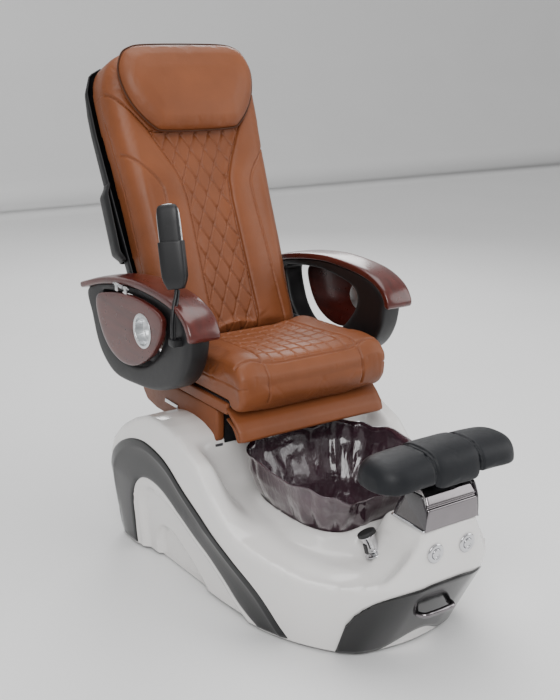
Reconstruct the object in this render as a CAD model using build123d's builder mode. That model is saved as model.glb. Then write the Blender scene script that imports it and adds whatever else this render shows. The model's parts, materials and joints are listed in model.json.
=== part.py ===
"""Pedicure spa chair: a moulded tub with a tinted foot basin, and a sliding, reclining massage seat on top.

The frame is +Z up, with the front of the chair towards -Y and the sitter's left towards +X.
The origin is on the floor, under the middle of the chair's overall box.
All lengths are millimetres.
"""

from build123d import *
import math
import os

os.makedirs("parts", exist_ok=True)

# ---------------------------------------------------------------- driving dimensions
TUB_HALF_WIDTH = 372.0
TUB_FRONT_Y = -745.0
TUB_REAR_Y = 420.0
TUB_MID_Y = (TUB_FRONT_Y + TUB_REAR_Y) / 2
TUB_HALF_LENGTH = (TUB_REAR_Y - TUB_FRONT_Y) / 2
WALL = 8.0
WAIST_Z = 235.0
TRIM_PROUD = 5.0
NOSE_TOP_Z = 390.0
NOSE_TOP_HALF = 95.0
NOSE_REAR_HALF = 82.0
NOSE_BACK_Y = -612.0

BASIN_Y = -303.0
BASIN_RIM_Z = 445.0
BASIN_WALL = 7.0
BASIN_FLOOR_Z = 118.0

PLINTH_Z0, PLINTH_Z1 = 416.0, 520.0
PLINTH_HALF = 222.0
PLINTH_Y0, PLINTH_Y1 = -44.0, 372.0

SEAT_HALF = 262.0
SEAT_FRONT_Y, SEAT_REAR_Y = -180.0, 212.0
SEAT_PAN_Z = 548.0
SEAT_TOP_Z = 688.0

BACK_TILT = 24.0
BACK_BASE_Y, BACK_BASE_Z = 246.0, 690.0
BACK_HALF_LOW, BACK_HALF_HIGH = 240.0, 272.0
BACK_DEPTH = 126.0
BACK_TOP = 862.0
HINGE_Y, HINGE_Z = 300.0, 600.0

ARM_IN, ARM_OUT = 300.0, 380.0
PAD_IN, PAD_OUT = 293.0, 391.0
PIVOT_Y, PIVOT_Z = 404.0, 622.0
TRAY_IN, TRAY_THICK = 386.0, 18.0
TRAY_HINGE_X, TRAY_HINGE_Z = 397.0, 836.0
CUP_Y, CUP_Z, CUP_R = 105.0, 738.0, 42.0

FOOTREST_Y = -680.0
RUNNING_GAP = 0.4

# The model is drawn about the basin, then moved along Y so that its overall box is centred on the origin.
ORIGIN_SHIFT = Location((0, 25.0, 0))


def write(piece, name):
    """Places a finished piece about the origin, labels it and writes it to its own STEP file."""
    with BuildPart() as placed:
        add(piece.part.moved(ORIGIN_SHIFT))
    placed.part.label = name
    export_step(placed.part, f"parts/{name}.step")


def write_pair(piece, name):
    """Writes the piece made on the +X side as NAME_left, and its mirror image as NAME_right."""
    write(piece, f"{name}_left")
    with BuildPart() as other:
        add(piece.part)
        mirror(about=Plane.YZ, mode=Mode.REPLACE)
    write(other, f"{name}_right")


def write_both(piece, name):
    """Writes the piece made on the +X side and its mirror image together, as one node."""
    with BuildPart() as both:
        add(piece.part)
        mirror(about=Plane.YZ)
    write(both, name)


# ---------------------------------------------------------------- tub
FLOOR_HALF_OUTLINE = [
    (0, -623), (62, -618), (104, -611), (155, -598), (184, -577), (208, -553), (240, -508), (270, -455),
    (297, -390), (320, -305), (333, -200), (340, 0), (343, 320), (328, 374), (288, 400), (160, 409), (0, 410),
]
WAIST_HALF_OUTLINE = [
    (0, -745), (100, -741), (150, -720), (190, -690), (230, -652), (276, -605), (316, -541), (345, -460),
    (362, -370), (371, -260), (372, -130), (372, 50), (372, 340), (354, 396), (310, 417), (160, 420), (0, 420),
]
CREST = [
    (421, 0), (411, 137), (390, 260), (360, 331), (294, 394), (223, 436), (170, 458), (126, 467), (80, 469),
    (30, 464), (-61, 428), (-129, 396), (-195, 343), (-275, 295), (-350, 270), (-450, 262), (-550, 262),
    (-620, 256), (-690, 250), (-770, 246),
]


def grown(points, grow):
    """Outline points moved outwards by about grow, by scaling about the tub's middle."""
    sx = 1 + grow / TUB_HALF_WIDTH
    sy = 1 + grow / TUB_HALF_LENGTH
    return [(x * sx, TUB_MID_Y + (y - TUB_MID_Y) * sy) for x, y in points]


def plan_outline(half_points, grow):
    """A closed plan face from the outline of its +X half, whose two ends are on the middle line."""
    points = grown(half_points, grow)
    with BuildLine() as outline:
        Polyline(*points, *[(-x, y) for x, y in reversed(points[1:-1])], close=True)
    make_face(outline.edges())


def tub_hull(grow, depth=0.0):
    """The tub's outer form without its nose. A negative depth carries the bottom below the floor."""
    with BuildPart() as hull:
        with BuildSketch(Plane.XY.offset(depth)):
            plan_outline(FLOOR_HALF_OUTLINE, grow)
        with BuildSketch(Plane.XY.offset(WAIST_Z)):
            plan_outline(WAIST_HALF_OUTLINE, grow)
        loft(ruled=True)
        extrude(hull.faces().sort_by(Axis.Z)[-1], amount=260)
        with BuildSketch(Plane.YZ):
            with BuildLine():
                top = [
                    (
                        TUB_MID_Y + (y - TUB_MID_Y) * (1 + grow / TUB_HALF_LENGTH),
                        z + (grow if z else depth - 1),
                    )
                    for y, z in CREST
                ]
                Polyline(*top, (top[-1][0], depth - 1), close=True)
            make_face()
        extrude(amount=500, both=True, mode=Mode.INTERSECT)
    return hull.part


def nose_block(grow):
    """The raised block at the front that carries the footrest, with a face that flares out below."""
    with BuildPart() as nose:
        with BuildSketch(Plane.XY.offset(WAIST_Z - 30)):
            plan_outline(WAIST_HALF_OUTLINE, grow)
        extrude(amount=200)
        with BuildSketch(Plane.XZ.offset(655 - grow)):
            with BuildLine():
                Polyline(
                    (-228 - grow, WAIST_Z - 8), (-190 - grow, 252), (-147 - grow, 300), (-122 - grow, 328),
                    (-98 - grow, 365), (-NOSE_TOP_HALF - grow, NOSE_TOP_Z + grow),
                    (NOSE_TOP_HALF + grow, NOSE_TOP_Z + grow), (98 + grow, 365),
                    (122 + grow, 328), (147 + grow, 300), (190 + grow, 252), (228 + grow, WAIST_Z - 8),
                    close=True,
                )
            make_face()
        extrude(amount=120, mode=Mode.INTERSECT)
        with BuildSketch(Plane.XY.offset(WAIST_Z - 8)):
            with BuildLine():
                Polyline(
                    (-NOSE_TOP_HALF - grow, -735), (-NOSE_REAR_HALF - grow, NOSE_BACK_Y + grow),
                    (NOSE_REAR_HALF + grow, NOSE_BACK_Y + grow), (NOSE_TOP_HALF + grow, -735), close=True,
                )
            make_face()
        extrude(amount=NOSE_TOP_Z - WAIST_Z + 8 + grow)
    return nose.part


def basin_form(grow, floor_z, rim_z=BASIN_RIM_Z):
    """The basin's bowl as a solid, grown by grow all round, from floor_z up to its rim."""
    levels = [(floor_z, 128, 140, 100), (262, 184, 184, 116), (372, 228, 240, 126), (rim_z, 238, 254, 128)]
    with BuildPart() as bowl:
        for z, half_x, half_y, corner in levels:
            with BuildSketch(Plane.XY.offset(z)):
                with Locations((0, BASIN_Y)):
                    RectangleRounded(2 * (half_x + grow), 2 * (half_y + grow), corner + grow)
        loft()
    return bowl.part


BUTTON_X, BUTTON_Z, BUTTON_R = 54.0, 327.0, 17.0
SPRAYER_AT = Plane(origin=(-100, -580, 264), x_dir=(0.907, 0, 0.42), z_dir=(-0.42, 0.04, 0.907))
SPRAYER_R = 17.0
KICK_HALF, KICK_HEIGHT = 96.0, 50.0

outer_hull = tub_hull(0)
outer_nose = nose_block(0)

with BuildPart() as kick_cut:
    with BuildSketch(Plane.XZ):
        Ellipse(KICK_HALF, KICK_HEIGHT)
    extrude(amount=900)

with BuildPart() as tub_shell:
    add(outer_hull)
    add(outer_nose)
    add(tub_hull(-WALL, depth=-20), mode=Mode.SUBTRACT)
    add(nose_block(-WALL), mode=Mode.SUBTRACT)
    add(basin_form(2.0, BASIN_FLOOR_Z - 4), mode=Mode.SUBTRACT)
    with BuildSketch(Plane.XY.offset(PLINTH_Z0)):
        with Locations((0, (PLINTH_Y0 + PLINTH_Y1) / 2)):
            Rectangle(2 * (PLINTH_HALF + 44), PLINTH_Y1 - PLINTH_Y0 + 30)
    extrude(amount=100, mode=Mode.SUBTRACT)
    add(kick_cut.part, mode=Mode.SUBTRACT)
    with BuildSketch(Plane.XZ.offset(700)):
        with Locations((-BUTTON_X, BUTTON_Z), (BUTTON_X, BUTTON_Z)):
            Circle(BUTTON_R + 5)
    extrude(amount=80, mode=Mode.SUBTRACT)
    with BuildSketch(SPRAYER_AT.offset(-60)):
        Circle(SPRAYER_R + 1)
    extrude(amount=90, mode=Mode.SUBTRACT)
write(tub_shell, "tub_shell")

ARCH_OUTER = [
    (430, -1), (404, 107), (376, 254), (330, 315), (255, 360), (175, 381), (100, 377), (26, 357),
    (-62, 310), (-180, 256), (-295, 196), (-391, 125), (-446, -1),
]
ARCH_INNER = [
    (-352, -1), (-292, 56), (-246, 106), (-185, 152), (-112, 188), (-27, 233), (64, 266), (139, 271),
    (190, 252), (231, 205), (250, 140), (258, -1),
]
trim_skin_outer = tub_hull(TRIM_PROUD)
with BuildPart() as arch_trim:
    add(trim_skin_outer)
    with BuildSketch(Plane.YZ.offset(230)):
        with BuildLine():
            rim = Spline(*ARCH_OUTER)
            inner = Spline(*ARCH_INNER)
            Line(rim @ 1, inner @ 0)
            Line(inner @ 1, rim @ 0)
        make_face()
    extrude(amount=200, mode=Mode.INTERSECT)
    add(outer_hull, mode=Mode.SUBTRACT)
write_both(arch_trim, "arch_trims")

TOE_HALF_OUTLINE = [(0, 240), (80, 238), (136, 222), (180, 192), (206, 140), (217, 78), (208, -1)]
with BuildPart() as toe_panel:
    add(trim_skin_outer)
    with BuildSketch(Plane.XZ):
        with BuildLine():
            toe_edge = Spline(*TOE_HALF_OUTLINE, tangents=((1, 0), (-0.5, -1)))
            Polyline(toe_edge @ 1, (0, -1), toe_edge @ 0)
        make_face()
        mirror(about=Plane.YZ)
    extrude(amount=900, mode=Mode.INTERSECT)
    add(outer_hull, mode=Mode.SUBTRACT)
    add(outer_nose, mode=Mode.SUBTRACT)
    add(kick_cut.part, mode=Mode.SUBTRACT)
write(toe_panel, "toe_panel")

HANDLE_Z, HANDLE_HALF, HANDLE_R = 134.0, 58.0, 6.0
HANDLE_WALL_Y, HANDLE_REACH = -684.0, 42.0
with BuildPart() as toe_handle:
    with BuildLine() as handle_path:
        FilletPolyline(
            (-HANDLE_HALF, HANDLE_WALL_Y, HANDLE_Z),
            (-HANDLE_HALF, HANDLE_WALL_Y - HANDLE_REACH, HANDLE_Z + 4),
            (HANDLE_HALF, HANDLE_WALL_Y - HANDLE_REACH, HANDLE_Z + 4),
            (HANDLE_HALF, HANDLE_WALL_Y, HANDLE_Z),
            radius=14,
        )
    with BuildSketch(Plane(origin=handle_path.line @ 0, z_dir=handle_path.line % 0)):
        Circle(HANDLE_R)
    sweep()
    add(trim_skin_outer, mode=Mode.SUBTRACT)
write(toe_handle, "toe_handle")

# ---------------------------------------------------------------- basin and its fittings
DRAIN_Y, DRAIN_R = -240.0, 24.0
JET_R = 46.0
with BuildPart() as basin:
    add(basin_form(0, BASIN_FLOOR_Z))
    add(basin_form(-BASIN_WALL, BASIN_FLOOR_Z + BASIN_WALL, BASIN_RIM_Z + 1), mode=Mode.SUBTRACT)
    with Locations((0, DRAIN_Y - 80, BASIN_FLOOR_Z)):
        Cylinder(DRAIN_R + 0.5, 40, mode=Mode.SUBTRACT)
write(basin, "basin")

drain_at = (0, DRAIN_Y - 80)
with BuildPart() as drain_flange:
    with BuildSketch(Plane.XY.offset(BASIN_FLOOR_Z - 16)):
        with Locations(drain_at):
            Circle(DRAIN_R)
            Circle(DRAIN_R - 4, mode=Mode.SUBTRACT)
    extrude(amount=16 + BASIN_WALL)
    with BuildSketch(Plane.XY.offset(BASIN_FLOOR_Z + BASIN_WALL)):
        with Locations(drain_at):
            Circle(DRAIN_R + 8)
            Circle(DRAIN_R - 4, mode=Mode.SUBTRACT)
    extrude(amount=2.5)
write(drain_flange, "drain_flange")

with BuildPart() as drain_stopper:
    with BuildSketch(Plane.XY.offset(BASIN_FLOOR_Z + BASIN_WALL + 3)):
        with Locations(drain_at):
            Circle(DRAIN_R)
    extrude(amount=5)
    fillet(drain_stopper.faces().sort_by(Axis.Z)[-1].edges(), 3)
    with BuildSketch(Plane.XY.offset(BASIN_FLOOR_Z - 14)):
        with Locations(drain_at):
            Circle(6)
    extrude(amount=18 + BASIN_WALL)
write(drain_stopper, "drain_stopper")

JET_Z = BASIN_FLOOR_Z + BASIN_WALL + 1
JET_AT = (0, BASIN_Y + 85)
with BuildPart() as jet_housing:
    with BuildSketch(Plane.XY.offset(JET_Z)):
        with Locations(JET_AT):
            Circle(JET_R)
    extrude(amount=26)
    with BuildSketch(Plane.XY.offset(JET_Z + 6)):
        with Locations(JET_AT):
            Circle(JET_R - 8)
    extrude(amount=30, mode=Mode.SUBTRACT)
    with BuildSketch(Plane.XY.offset(JET_Z + 26)):
        with Locations(JET_AT):
            Circle(JET_R)
            Circle(JET_R - 9, mode=Mode.SUBTRACT)
    extrude(amount=6)
    fillet(jet_housing.faces().sort_by(Axis.Z)[-1].edges(), 2)
write(jet_housing, "jet_housing")

with BuildPart() as jet_impeller:
    with BuildSketch(Plane.XY.offset(JET_Z + 8)):
        with Locations(JET_AT):
            Circle(11)
            with PolarLocations(20, 6):
                Rectangle(26, 5)
    extrude(amount=14)
write(jet_impeller, "jet_impeller")

# ---------------------------------------------------------------- hand sprayer
with BuildPart() as sprayer_socket:
    with BuildSketch(SPRAYER_AT.offset(-36)):
        Circle(SPRAYER_R)
        Circle(SPRAYER_R - 4, mode=Mode.SUBTRACT)
    extrude(amount=37)
    with BuildSketch(SPRAYER_AT.offset(1)):
        Circle(SPRAYER_R + 11)
        Circle(SPRAYER_R - 4, mode=Mode.SUBTRACT)
    extrude(amount=8)
    add(tub_shell.part, mode=Mode.SUBTRACT)
with BuildPart() as socket_whole:
    add(sprayer_socket.solids().sort_by(SortBy.VOLUME)[-1])
write(socket_whole, "sprayer_socket")

SPRAY_LIFT = 9.5
TRIGGER_HALF = 5.0
TRIGGER_PIVOT = (-20.5, SPRAY_LIFT + 40)


def trigger_plane(offset):
    """The plane that the trigger's outline is drawn on, moved sideways by offset."""
    return Plane(
        origin=SPRAYER_AT.origin + SPRAYER_AT.y_dir * offset,
        x_dir=SPRAYER_AT.x_dir,
        z_dir=SPRAYER_AT.y_dir * -1,
    )


with BuildPart() as sprayer_body:
    with BuildSketch(SPRAYER_AT.offset(SPRAY_LIFT - 36)):
        Circle(9)
    with BuildSketch(SPRAYER_AT.offset(SPRAY_LIFT)):
        Circle(12)
    loft()
    with BuildSketch(SPRAYER_AT.offset(SPRAY_LIFT)):
        Circle(15.5)
    extrude(amount=46)
    for lug in (-TRIGGER_HALF - 0.5, TRIGGER_HALF + 2.5):
        with BuildSketch(trigger_plane(lug)):
            with BuildLine():
                Polyline(
                    (-12, SPRAY_LIFT + 45), (TRIGGER_PIVOT[0], TRIGGER_PIVOT[1] + 3),
                    (TRIGGER_PIVOT[0], TRIGGER_PIVOT[1] - 3), (-12, SPRAY_LIFT + 34), close=True,
                )
            make_face()
            with Locations(TRIGGER_PIVOT):
                Circle(3)
        extrude(amount=2)
    with BuildSketch(trigger_plane(TRIGGER_HALF + 2.5)):
        with Locations(TRIGGER_PIVOT):
            Circle(1.3)
    extrude(amount=2 * TRIGGER_HALF + 5)
write(sprayer_body, "sprayer_body")

with BuildPart() as sprayer_face:
    with BuildSketch(SPRAYER_AT.offset(SPRAY_LIFT + 46)):
        Circle(25)
    extrude(amount=11)
    fillet(sprayer_face.edges(), 2.5)
write(sprayer_face, "sprayer_face")

with BuildPart() as sprayer_trigger:
    with BuildSketch(trigger_plane(TRIGGER_HALF)):
        with BuildLine():
            Polyline(
                (-18.5, SPRAY_LIFT + 40), (-23, SPRAY_LIFT + 40), (-27, SPRAY_LIFT + 14), (-23, SPRAY_LIFT + 12),
                (-18.5, SPRAY_LIFT + 30), close=True,
            )
        make_face()
        with Locations(TRIGGER_PIVOT):
            Circle(2.9)
            Circle(1.5, mode=Mode.SUBTRACT)
    extrude(amount=2 * TRIGGER_HALF)
write(sprayer_trigger, "sprayer_trigger")

# ---------------------------------------------------------------- air buttons on the nose
BUTTON_FACE_Y = -746.0
with BuildPart() as button_bezels:
    with BuildSketch(Plane.XZ.offset(-BUTTON_FACE_Y - 24)):
        with Locations((-BUTTON_X, BUTTON_Z), (BUTTON_X, BUTTON_Z)):
            Circle(BUTTON_R + 4.5)
            Circle(BUTTON_R - 3, mode=Mode.SUBTRACT)
    extrude(amount=24)
    with BuildSketch(Plane.XZ.offset(-BUTTON_FACE_Y)):
        with Locations((-BUTTON_X, BUTTON_Z), (BUTTON_X, BUTTON_Z)):
            Circle(BUTTON_R + 9)
            Circle(BUTTON_R - 3, mode=Mode.SUBTRACT)
    extrude(amount=5)
write(button_bezels, "button_bezels")


def air_button(x):
    """A pneumatic push button, with its stem behind the cap."""
    with BuildPart() as button:
        with BuildSketch(Plane.XZ.offset(-BUTTON_FACE_Y - 14)):
            with Locations((x, BUTTON_Z)):
                Circle(BUTTON_R - 3 - RUNNING_GAP)
        extrude(amount=21)
        fillet(button.faces().sort_by(Axis.Y)[0].edges(), 2)
    return button


write(air_button(BUTTON_X), "air_button_left")
write(air_button(-BUTTON_X), "air_button_right")

# ---------------------------------------------------------------- footrest
COLUMN_HALF, COLUMN_Y0, COLUMN_Y1 = 90.0, -744.0, -622.0
with BuildPart() as footrest_base:
    with BuildSketch(Plane.XY.offset(NOSE_TOP_Z)):
        with Locations((0, (COLUMN_Y0 + COLUMN_Y1) / 2)):
            Rectangle(2 * COLUMN_HALF - 14, COLUMN_Y1 - COLUMN_Y0 - 4)
            Rectangle(2 * COLUMN_HALF - 22, COLUMN_Y1 - COLUMN_Y0 - 12, mode=Mode.SUBTRACT)
    extrude(amount=60)
write(footrest_base, "footrest_base")

with BuildPart() as footrest_cheek:
    with BuildSketch(Plane.YZ.offset(COLUMN_HALF - 6.5)):
        with BuildLine():
            Polyline(
                (COLUMN_Y0 + 2, NOSE_TOP_Z + 0.5), (COLUMN_Y1, NOSE_TOP_Z + 0.5), (COLUMN_Y1 - 8, NOSE_TOP_Z + 22),
                (COLUMN_Y1 - 34, NOSE_TOP_Z + 74), (COLUMN_Y1 - 66, NOSE_TOP_Z + 92),
                (COLUMN_Y0 + 22, NOSE_TOP_Z + 92), (COLUMN_Y0 + 2, NOSE_TOP_Z + 60), close=True,
            )
        make_face()
    extrude(amount=6)
write_both(footrest_cheek, "footrest_cheeks")

YOKE_Z = NOSE_TOP_Z + 94
TILT_Z = YOKE_Z + 12
with BuildPart() as footrest_slider:
    with BuildSketch(Plane.XY.offset(NOSE_TOP_Z + 4)):
        with Locations((0, (COLUMN_Y0 + COLUMN_Y1) / 2)):
            Rectangle(2 * COLUMN_HALF - 26, COLUMN_Y1 - COLUMN_Y0 - 14)
            Rectangle(2 * COLUMN_HALF - 34, COLUMN_Y1 - COLUMN_Y0 - 22, mode=Mode.SUBTRACT)
    extrude(amount=84)
    with BuildSketch(Plane.XY.offset(NOSE_TOP_Z + 88)):
        with Locations((0, (COLUMN_Y0 + COLUMN_Y1) / 2)):
            Rectangle(2 * COLUMN_HALF - 26, COLUMN_Y1 - COLUMN_Y0 - 14)
    extrude(amount=6)
    for side in (-1, 1):
        with BuildSketch(Plane.YZ.offset(side * 60 - 4)):
            with BuildLine():
                Polyline(
                    (FOOTREST_Y - 26, YOKE_Z), (FOOTREST_Y + 26, YOKE_Z), (FOOTREST_Y + 12, YOKE_Z + 20),
                    (FOOTREST_Y - 12, YOKE_Z + 20), close=True,
                )
            make_face()
            with Locations((FOOTREST_Y, TILT_Z)):
                Circle(4 + RUNNING_GAP / 2, mode=Mode.SUBTRACT)
        extrude(amount=8)
write(footrest_slider, "footrest_slider")

with BuildPart() as footrest_board:
    with BuildSketch(Plane.XY.offset(YOKE_Z + 26)):
        with Locations((0, FOOTREST_Y)):
            RectangleRounded(300, 120, 12)
    extrude(amount=9)
    for side in (-1, 1):
        with BuildSketch(Plane.YZ.offset(side * 46 - 4)):
            with Locations((FOOTREST_Y, TILT_Z + 5)):
                Rectangle(24, 22)
        extrude(amount=8)
    with BuildSketch(Plane.YZ.offset(-72)):
        with Locations((FOOTREST_Y, TILT_Z)):
            Circle(4)
    extrude(amount=144)
write(footrest_board, "footrest_board")

PAD_Z = YOKE_Z + 35.5
PAD_HALF_DEPTH, PAD_HEIGHT = 84.0, 74.0


def footrest_section(x0, x1, height, droop):
    """One padded section of the footrest, a domed block from x0 to x1."""
    with BuildPart() as section:
        with BuildSketch(Plane.YZ.offset(x0)):
            with BuildLine():
                base = Polyline(
                    (FOOTREST_Y + PAD_HALF_DEPTH, PAD_Z + 16), (FOOTREST_Y + PAD_HALF_DEPTH - 20, PAD_Z),
                    (FOOTREST_Y - PAD_HALF_DEPTH + 20, PAD_Z), (FOOTREST_Y - PAD_HALF_DEPTH, PAD_Z + 16),
                )
                Spline(
                    base @ 1, (FOOTREST_Y - PAD_HALF_DEPTH * 0.72, PAD_Z + height * 0.72), (FOOTREST_Y, PAD_Z + height),
                    (FOOTREST_Y + PAD_HALF_DEPTH * 0.72, PAD_Z + height * 0.72), base @ 0,
                )
            make_face()
        extrude(amount=x1 - x0)
        if droop:
            with BuildSketch(Plane.XY.offset(PAD_Z - 1)):
                with Locations((0, FOOTREST_Y)):
                    RectangleRounded(2 * x1, 2 * PAD_HALF_DEPTH, 76)
            extrude(amount=height + 2, mode=Mode.INTERSECT)
    return section


write(footrest_section(-74, 74, PAD_HEIGHT, 0), "footrest_pad_middle")
write_both(footrest_section(74.5, 230, PAD_HEIGHT, 1), "footrest_pad_wings")

# ---------------------------------------------------------------- inside the tub
FRAME_TUBE = 25.0
FRAME_X0 = 240.0
with BuildPart() as base_frame:
    for side in (-1, 1):
        with Locations((side * FRAME_X0, 40, 30)):
            Box(FRAME_TUBE, 560, FRAME_TUBE)
        for y in (-30, 205):
            with Locations((side * FRAME_X0, y, 228.75)):
                Box(FRAME_TUBE, FRAME_TUBE, 374)
    for y in (-227.5, 307.5):
        with Locations((0, y, 30)):
            Box(2 * FRAME_X0, FRAME_TUBE, FRAME_TUBE)
    with Locations((0, 205, 403.25)):
        Box(2 * FRAME_X0, FRAME_TUBE, FRAME_TUBE)
write(base_frame, "base_frame")

with BuildPart() as levelling_feet:
    with Locations(*[(x, y, 0) for x in (-FRAME_X0, FRAME_X0) for y in (-210, 290)]):
        Cylinder(20, 8, align=(Align.CENTER, Align.CENTER, Align.MIN))
        Cylinder(5, 17.5, align=(Align.CENTER, Align.CENTER, Align.MIN))
write(levelling_feet, "levelling_feet")

with BuildPart() as drain_pump:
    with Locations((0, 110, 90)):
        Cylinder(55, 150, rotation=(0, 90, 0))
    with Locations((-95, 110, 90)):
        Cylinder(38, 40, rotation=(0, 90, 0))
    with Locations((0, 110, 39)):
        Box(120, 110, 12)
write(drain_pump, "drain_pump")

with BuildPart() as control_box:
    with Locations((150, 250, 180)):
        Box(150, 90, 120)
    fillet(control_box.edges().filter_by(Axis.Z), 8)
write(control_box, "control_box")

# ---------------------------------------------------------------- plinth under the seat
with BuildPart() as seat_plinth:
    with BuildSketch(Plane.XY.offset(PLINTH_Z0)):
        with Locations((0, (PLINTH_Y0 + PLINTH_Y1) / 2)):
            Rectangle(2 * PLINTH_HALF, PLINTH_Y1 - PLINTH_Y0)
            Rectangle(2 * PLINTH_HALF - 16, PLINTH_Y1 - PLINTH_Y0 - 16, mode=Mode.SUBTRACT)
    extrude(amount=PLINTH_Z1 - PLINTH_Z0)
write(seat_plinth, "seat_plinth")

with BuildPart() as plinth_side:
    with BuildSketch(Plane.YZ.offset(PLINTH_HALF + 0.5)):
        with BuildLine():
            Polyline(
                (PLINTH_Y0, PLINTH_Z0 + 2), (PLINTH_Y1 - 70, PLINTH_Z0 + 2), (PLINTH_Y1 - 10, PLINTH_Z0 + 14),
                (PLINTH_Y1 + 16, PLINTH_Z0 + 40), (PLINTH_Y1 + 22, PLINTH_Z1 - 4), (PLINTH_Y0, PLINTH_Z1 + 4),
                close=True,
            )
        make_face()
    extrude(amount=28)
    fillet(plinth_side.faces().sort_by(Axis.X)[-1].edges(), 8)
write_both(plinth_side, "plinth_sides")

PULL_Y, PULL_Z = 205.0, 464.0
with BuildPart() as plinth_pull:
    with Locations((PLINTH_HALF + 30.5, PULL_Y, PULL_Z)):
        Box(4, 74, 12)
    fillet(plinth_pull.edges().filter_by(Axis.X), 5)
write_both(plinth_pull, "plinth_pulls")

RAIL_X = 196.0
with BuildPart() as rail_outer:
    with BuildSketch(Plane.XZ.offset(-PLINTH_Y1 + 12)):
        with Locations((RAIL_X, PLINTH_Z1 + 8)):
            Rectangle(34, 16)
        with Locations((RAIL_X, PLINTH_Z1 + 10)):
            Rectangle(24, 13, mode=Mode.SUBTRACT)
    extrude(amount=PLINTH_Y1 - PLINTH_Y0 - 24)
write_both(rail_outer, "rails_outer")

with BuildPart() as rail_inner:
    with BuildSketch(Plane.XZ.offset(-PLINTH_Y1 + 60)):
        with Locations((RAIL_X, PLINTH_Z1 + 16.5)):
            Rectangle(18, 23)
    extrude(amount=PLINTH_Y1 - PLINTH_Y0 - 120)
write_both(rail_inner, "rails_inner")

# ---------------------------------------------------------------- seat
BRACKET_IN, BRACKET_THICK = 262.0, 8.0
HUB_X, HUB_THICK = 250.0, 8.0
HINGE_PIN_R = 7.8
with BuildPart() as seat_pan:
    with BuildSketch(Plane.XY.offset(SEAT_PAN_Z)):
        with Locations((0, 80)):
            RectangleRounded(2 * SEAT_HALF - 36, 400, 20)
    extrude(amount=10)
    for side in (-1, 1):
        with Locations((side * 252, 262, SEAT_PAN_Z + 5)):
            Box(36, 30, 10)
        with BuildSketch(Plane.YZ.offset(BRACKET_IN if side > 0 else -BRACKET_IN - BRACKET_THICK)):
            with BuildLine():
                Polyline((246, SEAT_PAN_Z), (300, SEAT_PAN_Z), (428, 596), (434, 648), (262, 648), close=True)
            make_face()
            with Locations((PIVOT_Y, PIVOT_Z)):
                Circle(9, mode=Mode.SUBTRACT)
        extrude(amount=BRACKET_THICK)
        with BuildSketch(Plane.YZ.offset(HUB_X - 2 if side > 0 else -HUB_X - 26)):
            with Locations((HINGE_Y, HINGE_Z)):
                Circle(HINGE_PIN_R)
        extrude(amount=28)
write(seat_pan, "seat_pan")

with BuildPart() as seat_cushion:
    with BuildSketch(Plane.YZ.offset(-SEAT_HALF + 2)):
        with BuildLine():
            low = Polyline(
                (SEAT_REAR_Y, SEAT_PAN_Z + 10.5), (-122, SEAT_PAN_Z + 10.5), (-124, 536), (-160, 534),
            )
            Spline(
                low @ 1, (SEAT_FRONT_Y, 575), (SEAT_FRONT_Y + 4, 640), (-146, 676), (-90, SEAT_TOP_Z),
                tangents=((-1, 0.6), (1, 0.1)),
            )
            Polyline((-90, SEAT_TOP_Z), (190, 676), (SEAT_REAR_Y, 668), (SEAT_REAR_Y, SEAT_PAN_Z + 10.5))
        make_face()
    extrude(amount=2 * SEAT_HALF - 4)
write(seat_cushion, "seat_cushion")

with BuildPart() as seat_side:
    with BuildSketch(Plane.YZ.offset(SEAT_HALF - 18)):
        with BuildLine():
            Polyline((-102, 530), (200, 526), (200, 557), (-102, 557), close=True)
        make_face()
    extrude(amount=12)
write_both(seat_side, "seat_sides")

with BuildPart() as apron:
    with BuildSketch(Plane.YZ.offset(-SEAT_HALF + 4)):
        with BuildLine():
            Polyline(
                (-104, 546), (-122, 530), (-150, 512), (-168, 492), (-176, 468), (-162, 466), (-154, 484),
                (-138, 498), (-104, 514), close=True,
            )
        make_face()
    extrude(amount=2 * SEAT_HALF - 8)
write(apron, "apron")

with BuildPart() as arm_pivot:
    with BuildSketch(Plane.YZ.offset(BRACKET_IN - 4)):
        with Locations((PIVOT_Y, PIVOT_Z)):
            Circle(8.8)
    extrude(amount=ARM_OUT - BRACKET_IN)
write_both(arm_pivot, "arm_pivots")

# ---------------------------------------------------------------- armrests
PAD_TOP = [(529, 789), (374, 837), (218, 863), (102, 866), (-16, 855), (-94, 824), (-128, 786), (-134, 758)]
PAD_UNDER = [(-108, 758), (-104, 778), (-78, 806), (-14, 829), (102, 840), (218, 838), (374, 812), (521, 768)]
with BuildPart() as arm_pad:
    with BuildSketch(Plane.YZ.offset(PAD_IN)):
        with BuildLine():
            top = Spline(*PAD_TOP)
            under = Spline(*PAD_UNDER)
            Line(top @ 1, under @ 0)
            Line(under @ 1, top @ 0)
        make_face()
    extrude(amount=PAD_OUT - PAD_IN)
write_pair(arm_pad, "arm_pad")

SHELL_OUTER = [
    (505, 771), (479, 698), (444, 620), (396, 571), (322, 541), (207, 545), (98, 559), (4, 590), (-52, 629),
    (-88, 690), (-100, 756),
]
SHELL_WINDOW = [
    (60, 790), (34, 740), (70, 680), (130, 628), (210, 604), (300, 612), (360, 660), (392, 730), (400, 782),
    (340, 800), (200, 812),
]
with BuildPart() as arm_shell:
    with BuildSketch(Plane.YZ.offset(ARM_IN)):
        with BuildLine():
            under = Spline(*[(y, z - 1.0) for y, z in PAD_UNDER[:-1]])
            lower = Spline(*SHELL_OUTER)
            Line(under @ 1, lower @ 0)
            Line(lower @ 1, under @ 0)
        make_face()
        with BuildLine():
            Spline(*SHELL_WINDOW, periodic=True)
        make_face(mode=Mode.SUBTRACT)
        with Locations((PIVOT_Y, PIVOT_Z)):
            Circle(9 + RUNNING_GAP / 2, mode=Mode.SUBTRACT)
    extrude(amount=ARM_OUT - ARM_IN)
write_pair(arm_shell, "arm_shell")

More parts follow.
